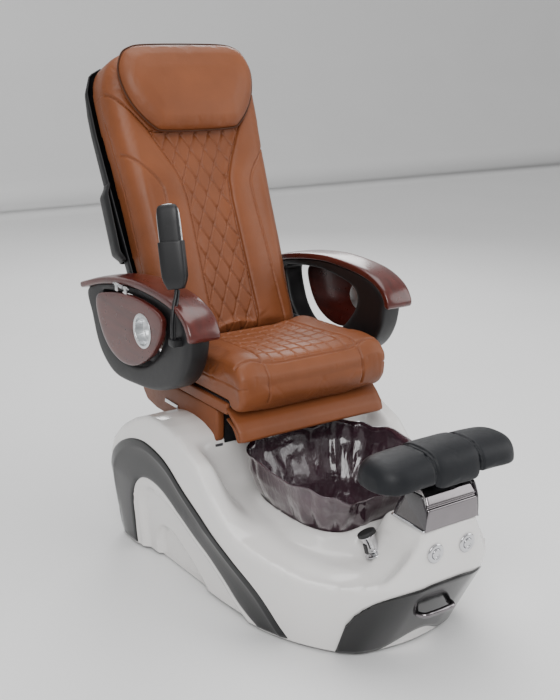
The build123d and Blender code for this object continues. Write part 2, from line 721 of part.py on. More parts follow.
# ---------------------------------------------------------------- manicure trays, folded down at rest
TRAY_OUTLINE = [
    (392, 772), (313, 803), (180, 822), (62, 818), (4, 800), (-1, 770), (18, 726), (66, 672), (150, 624),
    (240, 612), (322, 640), (374, 698),
]
with BuildPart() as tray_board:
    with BuildSketch(Plane.YZ.offset(TRAY_IN)):
        with BuildLine():
            Spline(*TRAY_OUTLINE, periodic=True)
        make_face()
        with Locations((CUP_Y, CUP_Z)):
            Circle(CUP_R + 1, mode=Mode.SUBTRACT)
    extrude(amount=TRAY_THICK)
write_pair(tray_board, "tray_board")

CUP_DEPTH = 30.0
HINGE_YS = (212.0, 266.0)
with BuildPart() as tray_fittings:
    with BuildSketch(Plane.YZ.offset(TRAY_IN + TRAY_THICK - CUP_DEPTH)):
        with Locations((CUP_Y, CUP_Z)):
            Circle(CUP_R + 0.6)
    extrude(amount=CUP_DEPTH)
    with BuildSketch(Plane.YZ.offset(TRAY_IN + TRAY_THICK)):
        with Locations((CUP_Y, CUP_Z)):
            Circle(CUP_R + 8)
    extrude(amount=3)
    with BuildSketch(Plane.YZ.offset(TRAY_IN + TRAY_THICK - CUP_DEPTH + 2)):
        with Locations((CUP_Y, CUP_Z)):
            Circle(CUP_R - 1.5)
    extrude(amount=CUP_DEPTH + 5, mode=Mode.SUBTRACT)
    for y in HINGE_YS:
        with BuildSketch(Plane.XZ.offset(-y - 8)):
            with Locations((TRAY_HINGE_X, TRAY_HINGE_Z)):
                Circle(5)
            with Locations((TRAY_HINGE_X, TRAY_HINGE_Z - 10)):
                Rectangle(4, 20)
            with Locations((TRAY_HINGE_X, TRAY_HINGE_Z)):
                Circle(2.2, mode=Mode.SUBTRACT)
        extrude(amount=16)
    add(tray_board.part, mode=Mode.SUBTRACT)
write_pair(tray_fittings, "tray_fittings")

KNOB_Y, KNOB_Z = 440.0, 622.0
with BuildPart() as arm_hardware:
    with BuildSketch(Plane.XZ.offset(-HINGE_YS[1] - 22)):
        with Locations((TRAY_HINGE_X, TRAY_HINGE_Z)):
            Circle(2)
    extrude(amount=HINGE_YS[1] - HINGE_YS[0] + 44)
    with BuildSketch(Plane.XZ.offset(-(HINGE_YS[0] + HINGE_YS[1]) / 2 - 12)):
        with Locations((TRAY_HINGE_X, TRAY_HINGE_Z)):
            Circle(5)
        with Locations((TRAY_HINGE_X - 7, TRAY_HINGE_Z - 3)):
            Rectangle(16, 6)
    extrude(amount=24)
    with BuildSketch(Plane.XZ.offset(-KNOB_Y)):
        with Locations((340, KNOB_Z)):
            Circle(5)
    extrude(amount=-22)
    with BuildSketch(Plane.XZ.offset(-KNOB_Y - 22)):
        with Locations((340, KNOB_Z)):
            Circle(11)
    extrude(amount=-14)
    fillet(arm_hardware.faces().sort_by(Axis.Y)[-1].edges(), 4)
    add(arm_pad.part, mode=Mode.SUBTRACT)
    add(arm_shell.part, mode=Mode.SUBTRACT)
write_pair(arm_hardware, "arm_hardware")

# ---------------------------------------------------------------- remote control, on the right armrest
STEM_X, STEM_Y, STEM_Z = -397.0, -52.0, 752.0
HOLDER_X, HOLDER_Y, HOLDER_Z = -372.0, -30.0, 884.0
lean_back = math.radians(13)
holder_plane = Plane(
    origin=(HOLDER_X, HOLDER_Y, HOLDER_Z),
    x_dir=(math.cos(math.radians(45)), -math.sin(math.radians(45)), 0),
    z_dir=(0, math.sin(lean_back), math.cos(lean_back)),
)
with BuildPart() as remote_stem:
    with BuildLine() as stem_path:
        Spline(
            (STEM_X, STEM_Y, STEM_Z), (STEM_X, STEM_Y + 2, STEM_Z + 52), (HOLDER_X, HOLDER_Y, HOLDER_Z),
            tangents=((0, 0, 1), (0, math.sin(lean_back), math.cos(lean_back))),
        )
    with BuildSketch(Plane(origin=stem_path.line @ 0, z_dir=(0, 0, 1))):
        Circle(5.5)
    sweep()
    with Locations((STEM_X + 9, STEM_Y - 4, STEM_Z - 8)):
        Box(38, 30, 20)
    add(arm_shell.part.mirror(Plane.YZ), mode=Mode.SUBTRACT)
    add(arm_pad.part.mirror(Plane.YZ), mode=Mode.SUBTRACT)
write(remote_stem, "remote_stem")

HOLDER_W, HOLDER_D, HOLDER_H = 70.0, 40.0, 128.0
REMOTE_W, REMOTE_D, REMOTE_H = 60.0, 28.0, 214.0
with BuildPart() as remote_holder:
    with BuildSketch(holder_plane):
        RectangleRounded(HOLDER_W - 22, HOLDER_D - 12, 8)
    with BuildSketch(holder_plane.offset(34)):
        RectangleRounded(HOLDER_W, HOLDER_D, 12)
    loft()
    with BuildSketch(holder_plane.offset(34)):
        RectangleRounded(HOLDER_W, HOLDER_D, 12)
    extrude(amount=HOLDER_H - 34)
    with BuildSketch(holder_plane.offset(20)):
        RectangleRounded(REMOTE_W - 16, REMOTE_D - 6, 7)
    with BuildSketch(holder_plane.offset(38)):
        RectangleRounded(REMOTE_W + 2, REMOTE_D + 2, 9)
    loft(mode=Mode.SUBTRACT)
    with BuildSketch(holder_plane.offset(38)):
        RectangleRounded(REMOTE_W + 2, REMOTE_D + 2, 9)
    extrude(amount=HOLDER_H, mode=Mode.SUBTRACT)
write(remote_holder, "remote_holder")

with BuildPart() as remote_body:
    with BuildSketch(holder_plane.offset(39)):
        RectangleRounded(REMOTE_W, REMOTE_D, 8)
    extrude(amount=REMOTE_H - 28)
    fillet(remote_body.faces().sort_by(Axis.Z)[-1].edges(), 9)
write(remote_body, "remote_body")

# ---------------------------------------------------------------- backrest, drawn on its own leaning plane
lean = math.radians(BACK_TILT)
back_plane = Plane(
    origin=(0, BACK_BASE_Y, BACK_BASE_Z),
    x_dir=(1, 0, 0),
    z_dir=(0, -math.cos(lean), math.sin(lean)),
)
BACK_LOW, YOKE_UP = -58.0, 612.0
PANEL_HALF_LOW, PANEL_HALF_HIGH = 96.0, 128.0
BOLSTER_DEPTH = 70.0


def back_profile(x):
    """A plane seen from the side, at x across, whose x runs up the backrest and whose y runs forward."""
    return Plane(
        origin=(x, BACK_BASE_Y, BACK_BASE_Z), x_dir=(0, math.sin(lean), math.cos(lean)), z_dir=(1, 0, 0)
    )


def back_block(points, front, depth):
    """A block on the backrest: a closed outline of (x, up) points, from front back by depth."""
    with BuildPart() as block:
        with BuildSketch(back_plane.offset(front)):
            with BuildLine():
                Polyline(*points, close=True)
            make_face()
        extrude(amount=-depth)
    return block


write(
    back_block(
        [
            (-PANEL_HALF_LOW, BACK_LOW), (PANEL_HALF_LOW, BACK_LOW),
            (PANEL_HALF_HIGH, YOKE_UP), (-PANEL_HALF_HIGH, YOKE_UP),
        ],
        -14, BOLSTER_DEPTH - 14,
    ),
    "back_panel",
)
bolster = back_block(
    [
        (PANEL_HALF_LOW + 1, BACK_LOW), (BACK_HALF_LOW - 8, BACK_LOW), (BACK_HALF_LOW + 4, 40), (258, 360),
        (BACK_HALF_HIGH, 640), (PANEL_HALF_HIGH + 26, YOKE_UP + 60), (PANEL_HALF_HIGH + 1, YOKE_UP),
    ],
    0, BOLSTER_DEPTH,
)
write_both(bolster, "back_bolsters")

with BuildPart() as back_yoke:
    with BuildSketch(back_plane):
        with BuildLine():
            Polyline(
                (PANEL_HALF_HIGH, YOKE_UP + 1), (PANEL_HALF_HIGH + 25, YOKE_UP + 62), (BACK_HALF_HIGH, 642),
                (BACK_HALF_HIGH, BACK_TOP - 84), (BACK_HALF_HIGH - 20, BACK_TOP - 34),
                (BACK_HALF_HIGH - 70, BACK_TOP), (-BACK_HALF_HIGH + 70, BACK_TOP),
                (-BACK_HALF_HIGH + 20, BACK_TOP - 34), (-BACK_HALF_HIGH, BACK_TOP - 84), (-BACK_HALF_HIGH, 642),
                (-PANEL_HALF_HIGH - 25, YOKE_UP + 62), (-PANEL_HALF_HIGH, YOKE_UP + 1), close=True,
            )
        make_face()
    extrude(amount=-BACK_DEPTH)
    with BuildSketch(back_plane.offset(-BOLSTER_DEPTH - 20)):
        with Locations((0, 700)):
            Rectangle(440, 220)
    extrude(amount=-BACK_DEPTH, mode=Mode.SUBTRACT)
write(back_yoke, "back_yoke")

with BuildPart() as back_side:
    with BuildSketch(back_plane.offset(-BOLSTER_DEPTH - 0.5)):
        with BuildLine():
            Polyline(
                (BACK_HALF_LOW - 8, BACK_LOW), (BACK_HALF_LOW + 4, 40), (258, 360), (BACK_HALF_HIGH, 640),
                (BACK_HALF_HIGH - 20, 640), (236, 360), (BACK_HALF_LOW - 18, 40), (BACK_HALF_LOW - 24, BACK_LOW),
                close=True,
            )
        make_face()
    extrude(amount=-BACK_DEPTH + BOLSTER_DEPTH + 0.5)
    with BuildSketch(Plane.YZ.offset(200)):
        with Locations((358, 692)):
            Circle(9.5)
    extrude(amount=80, mode=Mode.SUBTRACT)
write_both(back_side, "back_sides")

PILLOW_OUTLINE = [
    (-105, 592), (105, 592), (160, 612), (215, 685), (236, 768), (218, 828), (185, 854), (115, 864),
    (-115, 864), (-185, 854), (-218, 828), (-236, 768), (-215, 685), (-160, 612),
]
with BuildPart() as head_pillow:
    with BuildSketch(back_plane.offset(0.4)):
        with BuildLine():
            Polyline(*PILLOW_OUTLINE, close=True)
        make_face()
    extrude(amount=58, taper=22)
write(head_pillow, "head_pillow")

# The rear shell is a thin moulded tray, open towards the cushions.
SHELL_REAR = [(-4, 190), (60, 199), (500, 202), (706, 194), (782, 164), (846, 132)]
SHELL_HALF = [
    (-58, 232), (40, 243), (360, 262), (640, 277), (770, 277), (826, 256), (846, 214),
]
with BuildPart() as back_shell:
    with BuildSketch(back_profile(-290)):
        with BuildLine():
            Polyline(
                (-40, -BACK_DEPTH - 0.5), *[(up, -back) for up, back in SHELL_REAR], (846, -BACK_DEPTH - 0.5),
                close=True,
            )
        make_face()
    extrude(amount=580)
    with BuildSketch(back_plane):
        with BuildLine():
            left = [(half, up) for up, half in SHELL_HALF]
            right = [(-half, up) for up, half in reversed(SHELL_HALF)]
            Polyline(*left, *right, close=True)
        make_face()
    extrude(amount=-300, mode=Mode.INTERSECT)
    with BuildSketch(back_profile(-226)):
        with BuildLine():
            Polyline(
                (-34, -BACK_DEPTH + 10), *[(up * 0.98 + 6, -back + 5) for up, back in SHELL_REAR],
                (829, -BACK_DEPTH + 10), close=True,
            )
        make_face()
    extrude(amount=452, mode=Mode.SUBTRACT)
write(back_shell, "back_shell")

# A raised housing wraps the middle of the shell, over the massage motor.
with BuildPart() as motor_cover:
    with BuildSketch(back_profile(-284)):
        with BuildLine():
            Polyline((218, -138), (218, -206), (236, -214), (452, -214), (470, -206), (470, -138), close=True)
        make_face()
    extrude(amount=568)
    with BuildSketch(back_profile(-270)):
        with BuildLine():
            Polyline((200, -100), (200, -202.5), (500, -202.5), (500, -100), close=True)
        make_face()
    extrude(amount=540, mode=Mode.SUBTRACT)
    add(back_shell.part, mode=Mode.SUBTRACT)
write(motor_cover, "motor_cover")

FRAME_X, FRAME_BACK = 205.0, 104.0
LUG_Y, LUG_Z = 358.0, 692.0
with BuildPart() as back_frame:
    for side in (-1, 1):
        with BuildSketch(back_plane.offset(-FRAME_BACK)):
            with Locations((side * FRAME_X, 375)):
                Rectangle(22, 850)
        extrude(amount=-22)
    for up in (-39, 789):
        with BuildSketch(back_plane.offset(-FRAME_BACK)):
            with Locations((0, up)):
                Rectangle(2 * FRAME_X - 22, 22)
        extrude(amount=-22)
    for side in (-1, 1):
        with BuildSketch(Plane.YZ.offset(HUB_X if side > 0 else -HUB_X - HUB_THICK)):
            with BuildLine():
                Polyline((342, 702), (374, 684), (322, 590), (280, 612), close=True)
            make_face()
            with Locations((HINGE_Y, HINGE_Z), (LUG_Y, LUG_Z)):
                Circle(24)
            with Locations((HINGE_Y, HINGE_Z)):
                Circle(HINGE_PIN_R + RUNNING_GAP, mode=Mode.SUBTRACT)
        extrude(amount=HUB_THICK)
        with BuildSketch(Plane.YZ.offset(216 if side > 0 else -HUB_X)):
            with Locations((LUG_Y, LUG_Z)):
                Circle(9)
        extrude(amount=HUB_X - 216)
write(back_frame, "back_frame")

ROLLER_R = 26.0
with BuildPart() as massage_carriage:
    with BuildSketch(back_plane.offset(-BOLSTER_DEPTH - 2 * ROLLER_R - 6)):
        with Locations((0, 330)):
            Rectangle(370, 60)
    extrude(amount=-14)
    for side in (-1, 1):
        with BuildSketch(back_profile(side * 52 - 4)):
            with Locations((290, -BOLSTER_DEPTH - ROLLER_R - 2), (370, -BOLSTER_DEPTH - ROLLER_R - 2)):
                Circle(9)
            with Locations((330, -BOLSTER_DEPTH - 2 * ROLLER_R + 10)):
                Rectangle(90, 34)
        extrude(amount=8)
    with BuildSketch(back_profile(-82)):
        with Locations((290, -BOLSTER_DEPTH - ROLLER_R - 2), (370, -BOLSTER_DEPTH - ROLLER_R - 2)):
            Circle(6)
    extrude(amount=164)
write(massage_carriage, "massage_carriage")

with BuildPart() as massage_rollers:
    for x in (-78, 62):
        with BuildSketch(back_profile(x)):
            with Locations((290, -BOLSTER_DEPTH - ROLLER_R - 2), (370, -BOLSTER_DEPTH - ROLLER_R - 2)):
                Circle(ROLLER_R)
                Circle(6.1, mode=Mode.SUBTRACT)
        extrude(amount=16)
write(massage_rollers, "massage_rollers")
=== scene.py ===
"""Looks for the pedicure spa chair, built around its mechanical frame.

Points of the chair's drawing are in millimetres: x to the sitter's left, y to the back, z up. The functions at() and
on_back() turn them into places in the frame, in metres. A point of the backrest is (x, up, front): up along its
leaning face, front towards the sitter.
"""
import json
import math

import bmesh
import bpy
from mathutils import Matrix, Vector, kdtree, noise


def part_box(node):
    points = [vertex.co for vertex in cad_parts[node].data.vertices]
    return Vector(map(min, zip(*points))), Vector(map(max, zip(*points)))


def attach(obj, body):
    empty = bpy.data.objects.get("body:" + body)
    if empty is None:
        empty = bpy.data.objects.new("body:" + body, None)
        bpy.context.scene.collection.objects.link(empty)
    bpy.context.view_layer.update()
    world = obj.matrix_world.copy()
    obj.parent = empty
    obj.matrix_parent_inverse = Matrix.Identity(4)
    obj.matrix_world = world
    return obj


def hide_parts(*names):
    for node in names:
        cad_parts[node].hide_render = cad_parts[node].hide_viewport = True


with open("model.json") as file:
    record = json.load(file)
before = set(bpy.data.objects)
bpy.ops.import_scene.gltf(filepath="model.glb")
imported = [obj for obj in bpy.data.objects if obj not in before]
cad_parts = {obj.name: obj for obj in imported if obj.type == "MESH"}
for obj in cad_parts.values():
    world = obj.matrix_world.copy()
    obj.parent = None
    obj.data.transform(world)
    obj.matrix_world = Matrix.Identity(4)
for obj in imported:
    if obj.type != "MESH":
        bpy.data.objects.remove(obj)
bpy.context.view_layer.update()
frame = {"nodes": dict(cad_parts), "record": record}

bl_info = {
    "name": "Pedicure spa chair",
    "version": (1, 0, 0),
    "blender": (4, 5, 0),
    "location": "3D View > Sidebar > Spa chair",
    "description": "Builds the looks of a pedicure spa chair around its mechanical frame",
    "category": "Object",
}

# ---------------------------------------------------------------- places and curves
TUB_FRONT_Y = -745.0
DRAWING_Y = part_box("tub_shell")[0].y * 1000 - TUB_FRONT_Y
BACK_LEAN = math.radians(24)
BACK_BASE_Y, BACK_BASE_Z = 246.0, 690.0


def at(x, y, z):
    """A point of the drawing as a place in the frame."""
    return Vector((x, y + DRAWING_Y, z)) / 1000


def drawn(place):
    """A place in the frame as a point of the drawing."""
    return place.x * 1000, place.y * 1000 - DRAWING_Y, place.z * 1000


def on_back(x, up, front):
    """A point of the backrest as a place in the frame."""
    y = BACK_BASE_Y + up * math.sin(BACK_LEAN) - front * math.cos(BACK_LEAN)
    z = BACK_BASE_Z + up * math.cos(BACK_LEAN) + front * math.sin(BACK_LEAN)
    return at(x, y, z)


def back_drawn(place):
    """A place in the frame as (x, up, front) on the backrest."""
    x, y, z = drawn(place)
    dy, dz = y - BACK_BASE_Y, z - BACK_BASE_Z
    up = dy * math.sin(BACK_LEAN) + dz * math.cos(BACK_LEAN)
    front = -dy * math.cos(BACK_LEAN) + dz * math.sin(BACK_LEAN)
    return x, up, front


def smooth(t):
    """A soft step from 0 to 1."""
    t = min(1.0, max(0.0, t))
    return t * t * (3 - 2 * t)


def mix(a, b, t):
    return a + (b - a) * t


def read(table, x):
    """The value at x of a table of (x, value) pairs in rising order."""
    if x <= table[0][0]:
        return table[0][1]
    for (x0, v0), (x1, v1) in zip(table, table[1:]):
        if x <= x1:
            return mix(v0, v1, (x - x0) / (x1 - x0))
    return table[-1][1]


def bell(distance, width):
    return math.exp(-((distance / width) ** 2))


def flowing(points, closed=False, per_run=10):
    """A smooth curve through the points, as a list of vectors."""
    pts = [Vector(p) for p in points]
    count = len(pts)
    line = []
    for i in range(count if closed else count - 1):
        b, c = pts[i], pts[(i + 1) % count]
        a = pts[i - 1] if closed or i else b * 2 - c
        d = pts[(i + 2) % count] if closed or i + 2 < count else c * 2 - b
        for k in range(per_run):
            t = k / per_run
            line.append(
                0.5 * (2 * b + (c - a) * t + (2 * a - 5 * b + 4 * c - d) * t * t + (3 * b - a - 3 * c + d) * t ** 3)
            )
    if not closed:
        line.append(pts[-1])
    return line


def evenly(line, count, closed=False):
    """count + 1 points at even distances along a line of points. On a closed one the last is the first again."""
    line = line + [line[0]] if closed else line
    lengths = [0.0]
    for a, b in zip(line, line[1:]):
        lengths.append(lengths[-1] + (b - a).length)
    found, j = [], 0
    for i in range(count + 1):
        want = lengths[-1] * i / count
        while j < len(line) - 2 and lengths[j + 1] < want:
            j += 1
        run = max(lengths[j + 1] - lengths[j], 1e-9)
        found.append(line[j].lerp(line[j + 1], min(1.0, (want - lengths[j]) / run)))
    return found


def mirrored(half):
    """A closed outline from its +x half, whose first and last points are on the middle line."""
    return list(half) + [(-x, y) for x, y in reversed(half[1:-1])]


def nearness(*lines, step=3.0):
    """A function that gives the distance from a flat point to the nearest of some lines."""
    points = []
    for line in lines:
        vectors = [Vector(p) for p in line]
        length = sum((b - a).length for a, b in zip(vectors, vectors[1:]))
        points += evenly(vectors, max(2, int(length / step)))
    tree = kdtree.KDTree(len(points))
    for i, p in enumerate(points):
        tree.insert((p.x, p.y, 0), i)
    tree.balance()
    return lambda x, y: tree.find((x, y, 0))[2]


def within(outline, x, y):
    """Whether a flat point is inside a closed outline."""
    inside = False
    for a, b in zip(outline, outline[1:] + outline[:1]):
        if (a[1] > y) != (b[1] > y) and x < (b[0] - a[0]) * (y - a[1]) / (b[1] - a[1]) + a[0]:
            inside = not inside
    return inside


def squared(angle, half_a, half_b, power):
    """A point of a rounded rectangle, as a superellipse: a higher power has tighter corners."""
    c, s = math.cos(angle), math.sin(angle)
    return (
        half_a * math.copysign(abs(c) ** (2 / power), c),
        half_b * math.copysign(abs(s) ** (2 / power), s),
    )


# ---------------------------------------------------------------- making pieces
def surface(bm, across, around, place):
    """Adds a grid and puts every corner where place(u, v) says, with u and v from 0 to 1. Touching edges are welded."""
    made = bmesh.ops.create_grid(bm, x_segments=across, y_segments=around, size=0.5)["verts"]
    for v in made:
        v.co = place(v.co.x + 0.5, v.co.y + 0.5)
    bmesh.ops.remove_doubles(bm, verts=made, dist=1e-5)


def to_object(bm, name):
    """Finishes a bmesh as an object of its own, smooth, with its faces outwards."""
    bmesh.ops.recalc_face_normals(bm, faces=bm.faces)
    mesh = bpy.data.meshes.new(name)
    bm.to_mesh(mesh)
    bm.free()
    mesh.shade_smooth()
    piece = bpy.data.objects.new(name, mesh)
    bpy.context.scene.collection.objects.link(piece)
    return piece


def shaped(name, across, around, place):
    """An object from one surface()."""
    bm = bmesh.new()
    surface(bm, across, around, place)
    return to_object(bm, name)


def apply_modifiers(piece):
    graph = bpy.context.evaluated_depsgraph_get()
    mesh = bpy.data.meshes.new_from_object(piece.evaluated_get(graph))
    piece.modifiers.clear()
    piece.data = mesh
    piece.data.shade_smooth()
    return piece


def wall(piece, thickness):
    """Gives a skin its thickness, inwards."""
    solid = piece.modifiers.new("wall", "SOLIDIFY")
    solid.thickness, solid.offset = thickness, -1
    return piece


def remeshed(piece, voxel, smoothing=0):
    """Turns touching closed shapes into one even skin, and softens it."""
    remesh = piece.modifiers.new("remesh", "REMESH")
    remesh.mode, remesh.voxel_size, remesh.use_smooth_shade = "VOXEL", voxel, True
    if smoothing:
        soften = piece.modifiers.new("soften", "SMOOTH")
        soften.factor, soften.iterations = 0.5, smoothing
    return apply_modifiers(piece)


def puffed(piece, voxel, cap, pressure=4.0, frames=20):
    """Blows a pad up as stuffed leather: remeshed, simulated as cloth under pressure, and moved no further than cap."""
    remeshed(piece, voxel)
    before = [v.co.copy() for v in piece.data.vertices]
    cloth = piece.modifiers.new("cloth", "CLOTH")
    cloth.settings.use_pressure = True
    cloth.settings.uniform_pressure_force = pressure
    cloth.settings.effector_weights.gravity = 0
    cloth.point_cache.frame_end = frames
    for step in range(1, frames + 1):
        bpy.context.scene.frame_set(step)
    apply_modifiers(piece)
    bpy.context.scene.frame_set(1)
    for v, old in zip(piece.data.vertices, before):
        move = v.co - old
        if move.length > cap:
            v.co = old + move * (cap / move.length)
    divide = piece.modifiers.new("finer", "SUBSURF")
    divide.levels = divide.render_levels = 1
    return apply_modifiers(piece)


def pressed(piece, depth_at, back=False):
    """Moves every corner in along its normal, by the millimetres that depth_at says for its drawn point."""
    unplace = back_drawn if back else drawn
    normals = [v.normal.copy() for v in piece.data.vertices]
    for v, normal in zip(piece.data.vertices, normals):
        v.co -= normal * (depth_at(*unplace(v.co), normal) / 1000)
    piece.data.update()
    return piece


def revolved(name, centre, axis, profile, turns=48):
    """A turned piece: profile is a list of (radius, distance along the axis), in millimetres."""
    spin_axis = Vector(axis).normalized()
    side = spin_axis.orthogonal().normalized()
    other = spin_axis.cross(side)
    points = [Vector(p) for p in profile]
    steps = len(points) - 1

    def place(u, v):
        r, along = points[round(v * steps)]
        angle = 2 * math.pi * u
        return centre + (side * (r * math.cos(angle)) + other * (r * math.sin(angle)) + spin_axis * along) / 1000

    return shaped(name, turns, steps, place)


def rounded_profile(points, radius, steps=4):
    """A profile whose inner corners are rounded by about radius."""
    line = [Vector(points[0])]
    for a, b, c in zip(points, points[1:], points[2:]):
        a, b, c = Vector(a), Vector(b), Vector(c)
        cut = min(radius, (a - b).length / 2.1, (c - b).length / 2.1)
        start, end = b + (a - b).normalized() * cut, b + (c - b).normalized() * cut
        for k in range(steps + 1):
            t = k / steps
            line.append(start * (1 - t) ** 2 + b * (2 * t * (1 - t)) + end * t * t)
    line.append(Vector(points[-1]))
    return line


def tube(name, points, radius, sides=12, closed=False):
    """A round tube along a line of places."""
    line = [Vector(p) for p in points]
    count = len(line)
    ups = []
    up = Vector((0.13, 0.21, 0.97))
    for i in range(count):
        ahead = line[(i + 1) % count] if closed or i + 1 < count else line[i]
        behind = line[i - 1] if closed or i else line[i]
        forward = (ahead - behind).normalized()
        up = (up - forward * up.dot(forward)).normalized()
        ups.append((up, forward.cross(up)))
    rows = count if closed else count - 1

    def place(u, v):
        i = round(v * rows) % count if closed else round(v * rows)
        a, b = ups[i]
        angle = 2 * math.pi * u
        return line[i] + (a * math.cos(angle) + b * math.sin(angle)) * radius

    bm = bmesh.new()
    surface(bm, sides, rows, place)
    if not closed:
        bmesh.ops.holes_fill(bm, edges=[e for e in bm.edges if e.is_boundary], sides=0)
    return to_object(bm, name)


def joined(name, *pieces):
    """Several objects made one."""
    bm = bmesh.new()
    for piece in pieces:
        bm.from_mesh(piece.data)
        bpy.data.objects.remove(piece)
    return to_object(bm, name)


def mirror_copy(piece, name):
    """The piece's mirror image on the other side of the chair."""
    bm = bmesh.new()
    bm.from_mesh(piece.data)
    bmesh.ops.transform(bm, matrix=Matrix.Scale(-1, 4, Vector((1, 0, 0))), verts=bm.verts)
    other = to_object(bm, name)
    for material in piece.data.materials:
        other.data.materials.append(material)
    return other


def fit(piece, body, material, slot, *nodes):
    """Dresses a finished piece: what it moves with, what it is made of, and the CAD nodes that it stands for."""
    piece.data.materials.clear()
    piece.data.materials.append(finish(material))
    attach(piece, body)
    if nodes:
        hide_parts(*nodes)
    return piece


# ---------------------------------------------------------------- finishes
class Finish:
    """A node material under construction."""

    def __init__(self, name):
        self.material = bpy.data.materials.new(name)
        self.material.use_nodes = True
        self.tree = self.material.node_tree
        self.shader = self.tree.nodes["Principled BSDF"]
        self.place = self.node("ShaderNodeTexCoord").outputs["Object"]

    def node(self, kind, **inputs):
        made = self.tree.nodes.new(kind)
        for key, value in inputs.items():
            socket = made.inputs[key.replace("_", " ")]
            if isinstance(value, bpy.types.NodeSocket):
                self.tree.links.new(value, socket)
            else:
                socket.default_value = value
        return made

    def scaled(self, x, y, z):
        return self.node("ShaderNodeMapping", Vector=self.place, Scale=(x, y, z)).outputs["Vector"]

    def cloud(self, scale, detail=3.0, vector=None):
        return self.node(
            "ShaderNodeTexNoise", Vector=vector or self.place, Scale=scale, Detail=detail
        ).outputs["Fac"]

    def grain(self, scale):
        made = self.node("ShaderNodeTexVoronoi", Vector=self.place, Scale=scale)
        made.feature = "DISTANCE_TO_EDGE"
        return made.outputs["Distance"]

    def ramp(self, factor, stops):
        made = self.node("ShaderNodeValToRGB", Fac=factor)
        band = made.color_ramp
        while len(band.elements) < len(stops):
            band.elements.new(0.5)
        for element, (position, colour) in zip(band.elements, stops):
            element.position = position
            element.color = (*colour, 1)
        return made.outputs["Color"]

    def spread(self, factor, low, high):
        made = self.node("ShaderNodeMapRange", Value=factor, To_Min=low, To_Max=high)
        return made.outputs["Result"]

    def bump(self, height, strength, distance, after=None):
        made = self.node("ShaderNodeBump", Height=height, Strength=strength, Distance=distance)
        if after:
            self.tree.links.new(after, made.inputs["Normal"])
        return made.outputs["Normal"]

    def link(self, socket, name):
        self.tree.links.new(socket, self.shader.inputs[name])

    def set(self, **values):
        for key, value in values.items():
            self.shader.inputs[key.replace("_", " ")].default_value = value


def shade(colour, factor):
    return tuple(min(1.0, c * factor) for c in colour)


def leather(name, colour, rough=0.42):
    """Satin leather with fine pebble grain and soft changes of tone."""
    f = Finish(name)
    tone = f.ramp(f.cloud(7.0, 5.0), [(0.3, shade(colour, 0.86)), (0.7, shade(colour, 1.1))])
    f.link(tone, "Base Color")
    f.link(f.spread(f.cloud(60.0), rough - 0.07, rough + 0.09), "Roughness")
    creases = f.bump(f.cloud(24.0, 6.0), 0.22, 0.004)
    f.link(f.bump(f.grain(520.0), 0.3, 0.0006, creases), "Normal")
    f.set(Specular_IOR_Level=0.32)
    return f.material


def gelcoat(name, colour):
    """Glossy moulded white with a faint pearl in it."""
    f = Finish(name)
    pearl = f.ramp(f.cloud(3.0), [(0.3, shade(colour, 0.965)), (0.7, colour)])
    f.link(pearl, "Base Color")
    f.link(f.spread(f.cloud(40.0), 0.2, 0.28), "Roughness")
    f.link(f.bump(f.cloud(9.0, 1.0), 0.06, 0.004), "Normal")
    f.set(Coat_Weight=0.7, Coat_Roughness=0.06)
    return f.material


def gloss_black(name):
    """Black lacquer, a little uneven."""
    f = Finish(name)
    f.link(f.ramp(f.cloud(5.0), [(0.3, (0.003, 0.003, 0.0035)), (0.7, (0.006, 0.006, 0.007))]), "Base Color")
    f.link(f.spread(f.cloud(30.0), 0.16, 0.26), "Roughness")
    f.link(f.bump(f.cloud(7.0, 1.0), 0.08, 0.004), "Normal")
    f.set(Coat_Weight=0.3, Coat_Roughness=0.12, Specular_IOR_Level=0.35)
    return f.material


def moulding(name, colour, rough=0.5, texture=900.0):
    """Moulded plastic with a fine sparked texture."""
    f = Finish(name)
    f.link(f.ramp(f.cloud(8.0), [(0.3, shade(colour, 0.85)), (0.7, shade(colour, 1.15))]), "Base Color")
    f.link(f.spread(f.cloud(50.0), rough - 0.06, rough + 0.06), "Roughness")
    f.link(f.bump(f.cloud(texture, 2.0), 0.18, 0.0004), "Normal")
    return f.material


def chrome(name, colour=(0.66, 0.66, 0.68), rough=0.07):
    """Bright plated metal with faint wipe marks."""
    f = Finish(name)
    f.link(f.ramp(f.cloud(20.0), [(0.3, shade(colour, 0.92)), (0.7, colour)]), "Base Color")
    f.link(f.spread(f.cloud(120.0), rough * 0.7, rough * 1.6), "Roughness")
    f.link(f.bump(f.cloud(14.0, 1.0), 0.04, 0.002), "Normal")
    f.set(Metallic=1.0)
    return f.material


def cherry(name, colour):
    """Lacquered cherry wood with fine figure along the armrest."""
    f = Finish(name)
    drawn_out = f.scaled(38.0, 3.2, 30.0)
    figure = f.cloud(1.6, 6.0, drawn_out)
    f.link(
        f.ramp(figure, [(0.3, shade(colour, 0.7)), (0.5, colour), (0.75, shade(colour, 1.25))]), "Base Color"
    )
    f.link(f.spread(f.cloud(50.0), 0.24, 0.34), "Roughness")
    f.link(f.bump(figure, 0.05, 0.001), "Normal")
    f.set(Coat_Weight=0.45, Coat_Roughness=0.14)
    return f.material


def smoked(name, colour, ripple, see_through):
    """Smoked resin: dark, clear and glossy, with ripples."""
    f = Finish(name)
    f.link(f.ramp(f.cloud(11.0, 3.0), [(0.3, shade(colour, 0.7)), (0.7, shade(colour, 1.35))]), "Base Color")
    waves = f.bump(f.cloud(1.0, 3.0, f.scaled(95.0, 95.0, 26.0)), ripple, 0.006)
    f.link(f.bump(f.cloud(30.0, 2.0), ripple * 0.5, 0.006, waves), "Normal")
    f.set(Roughness=0.08, Coat_Weight=1.0, Coat_Roughness=0.03, IOR=1.5, Transmission_Weight=see_through)
    return f.material


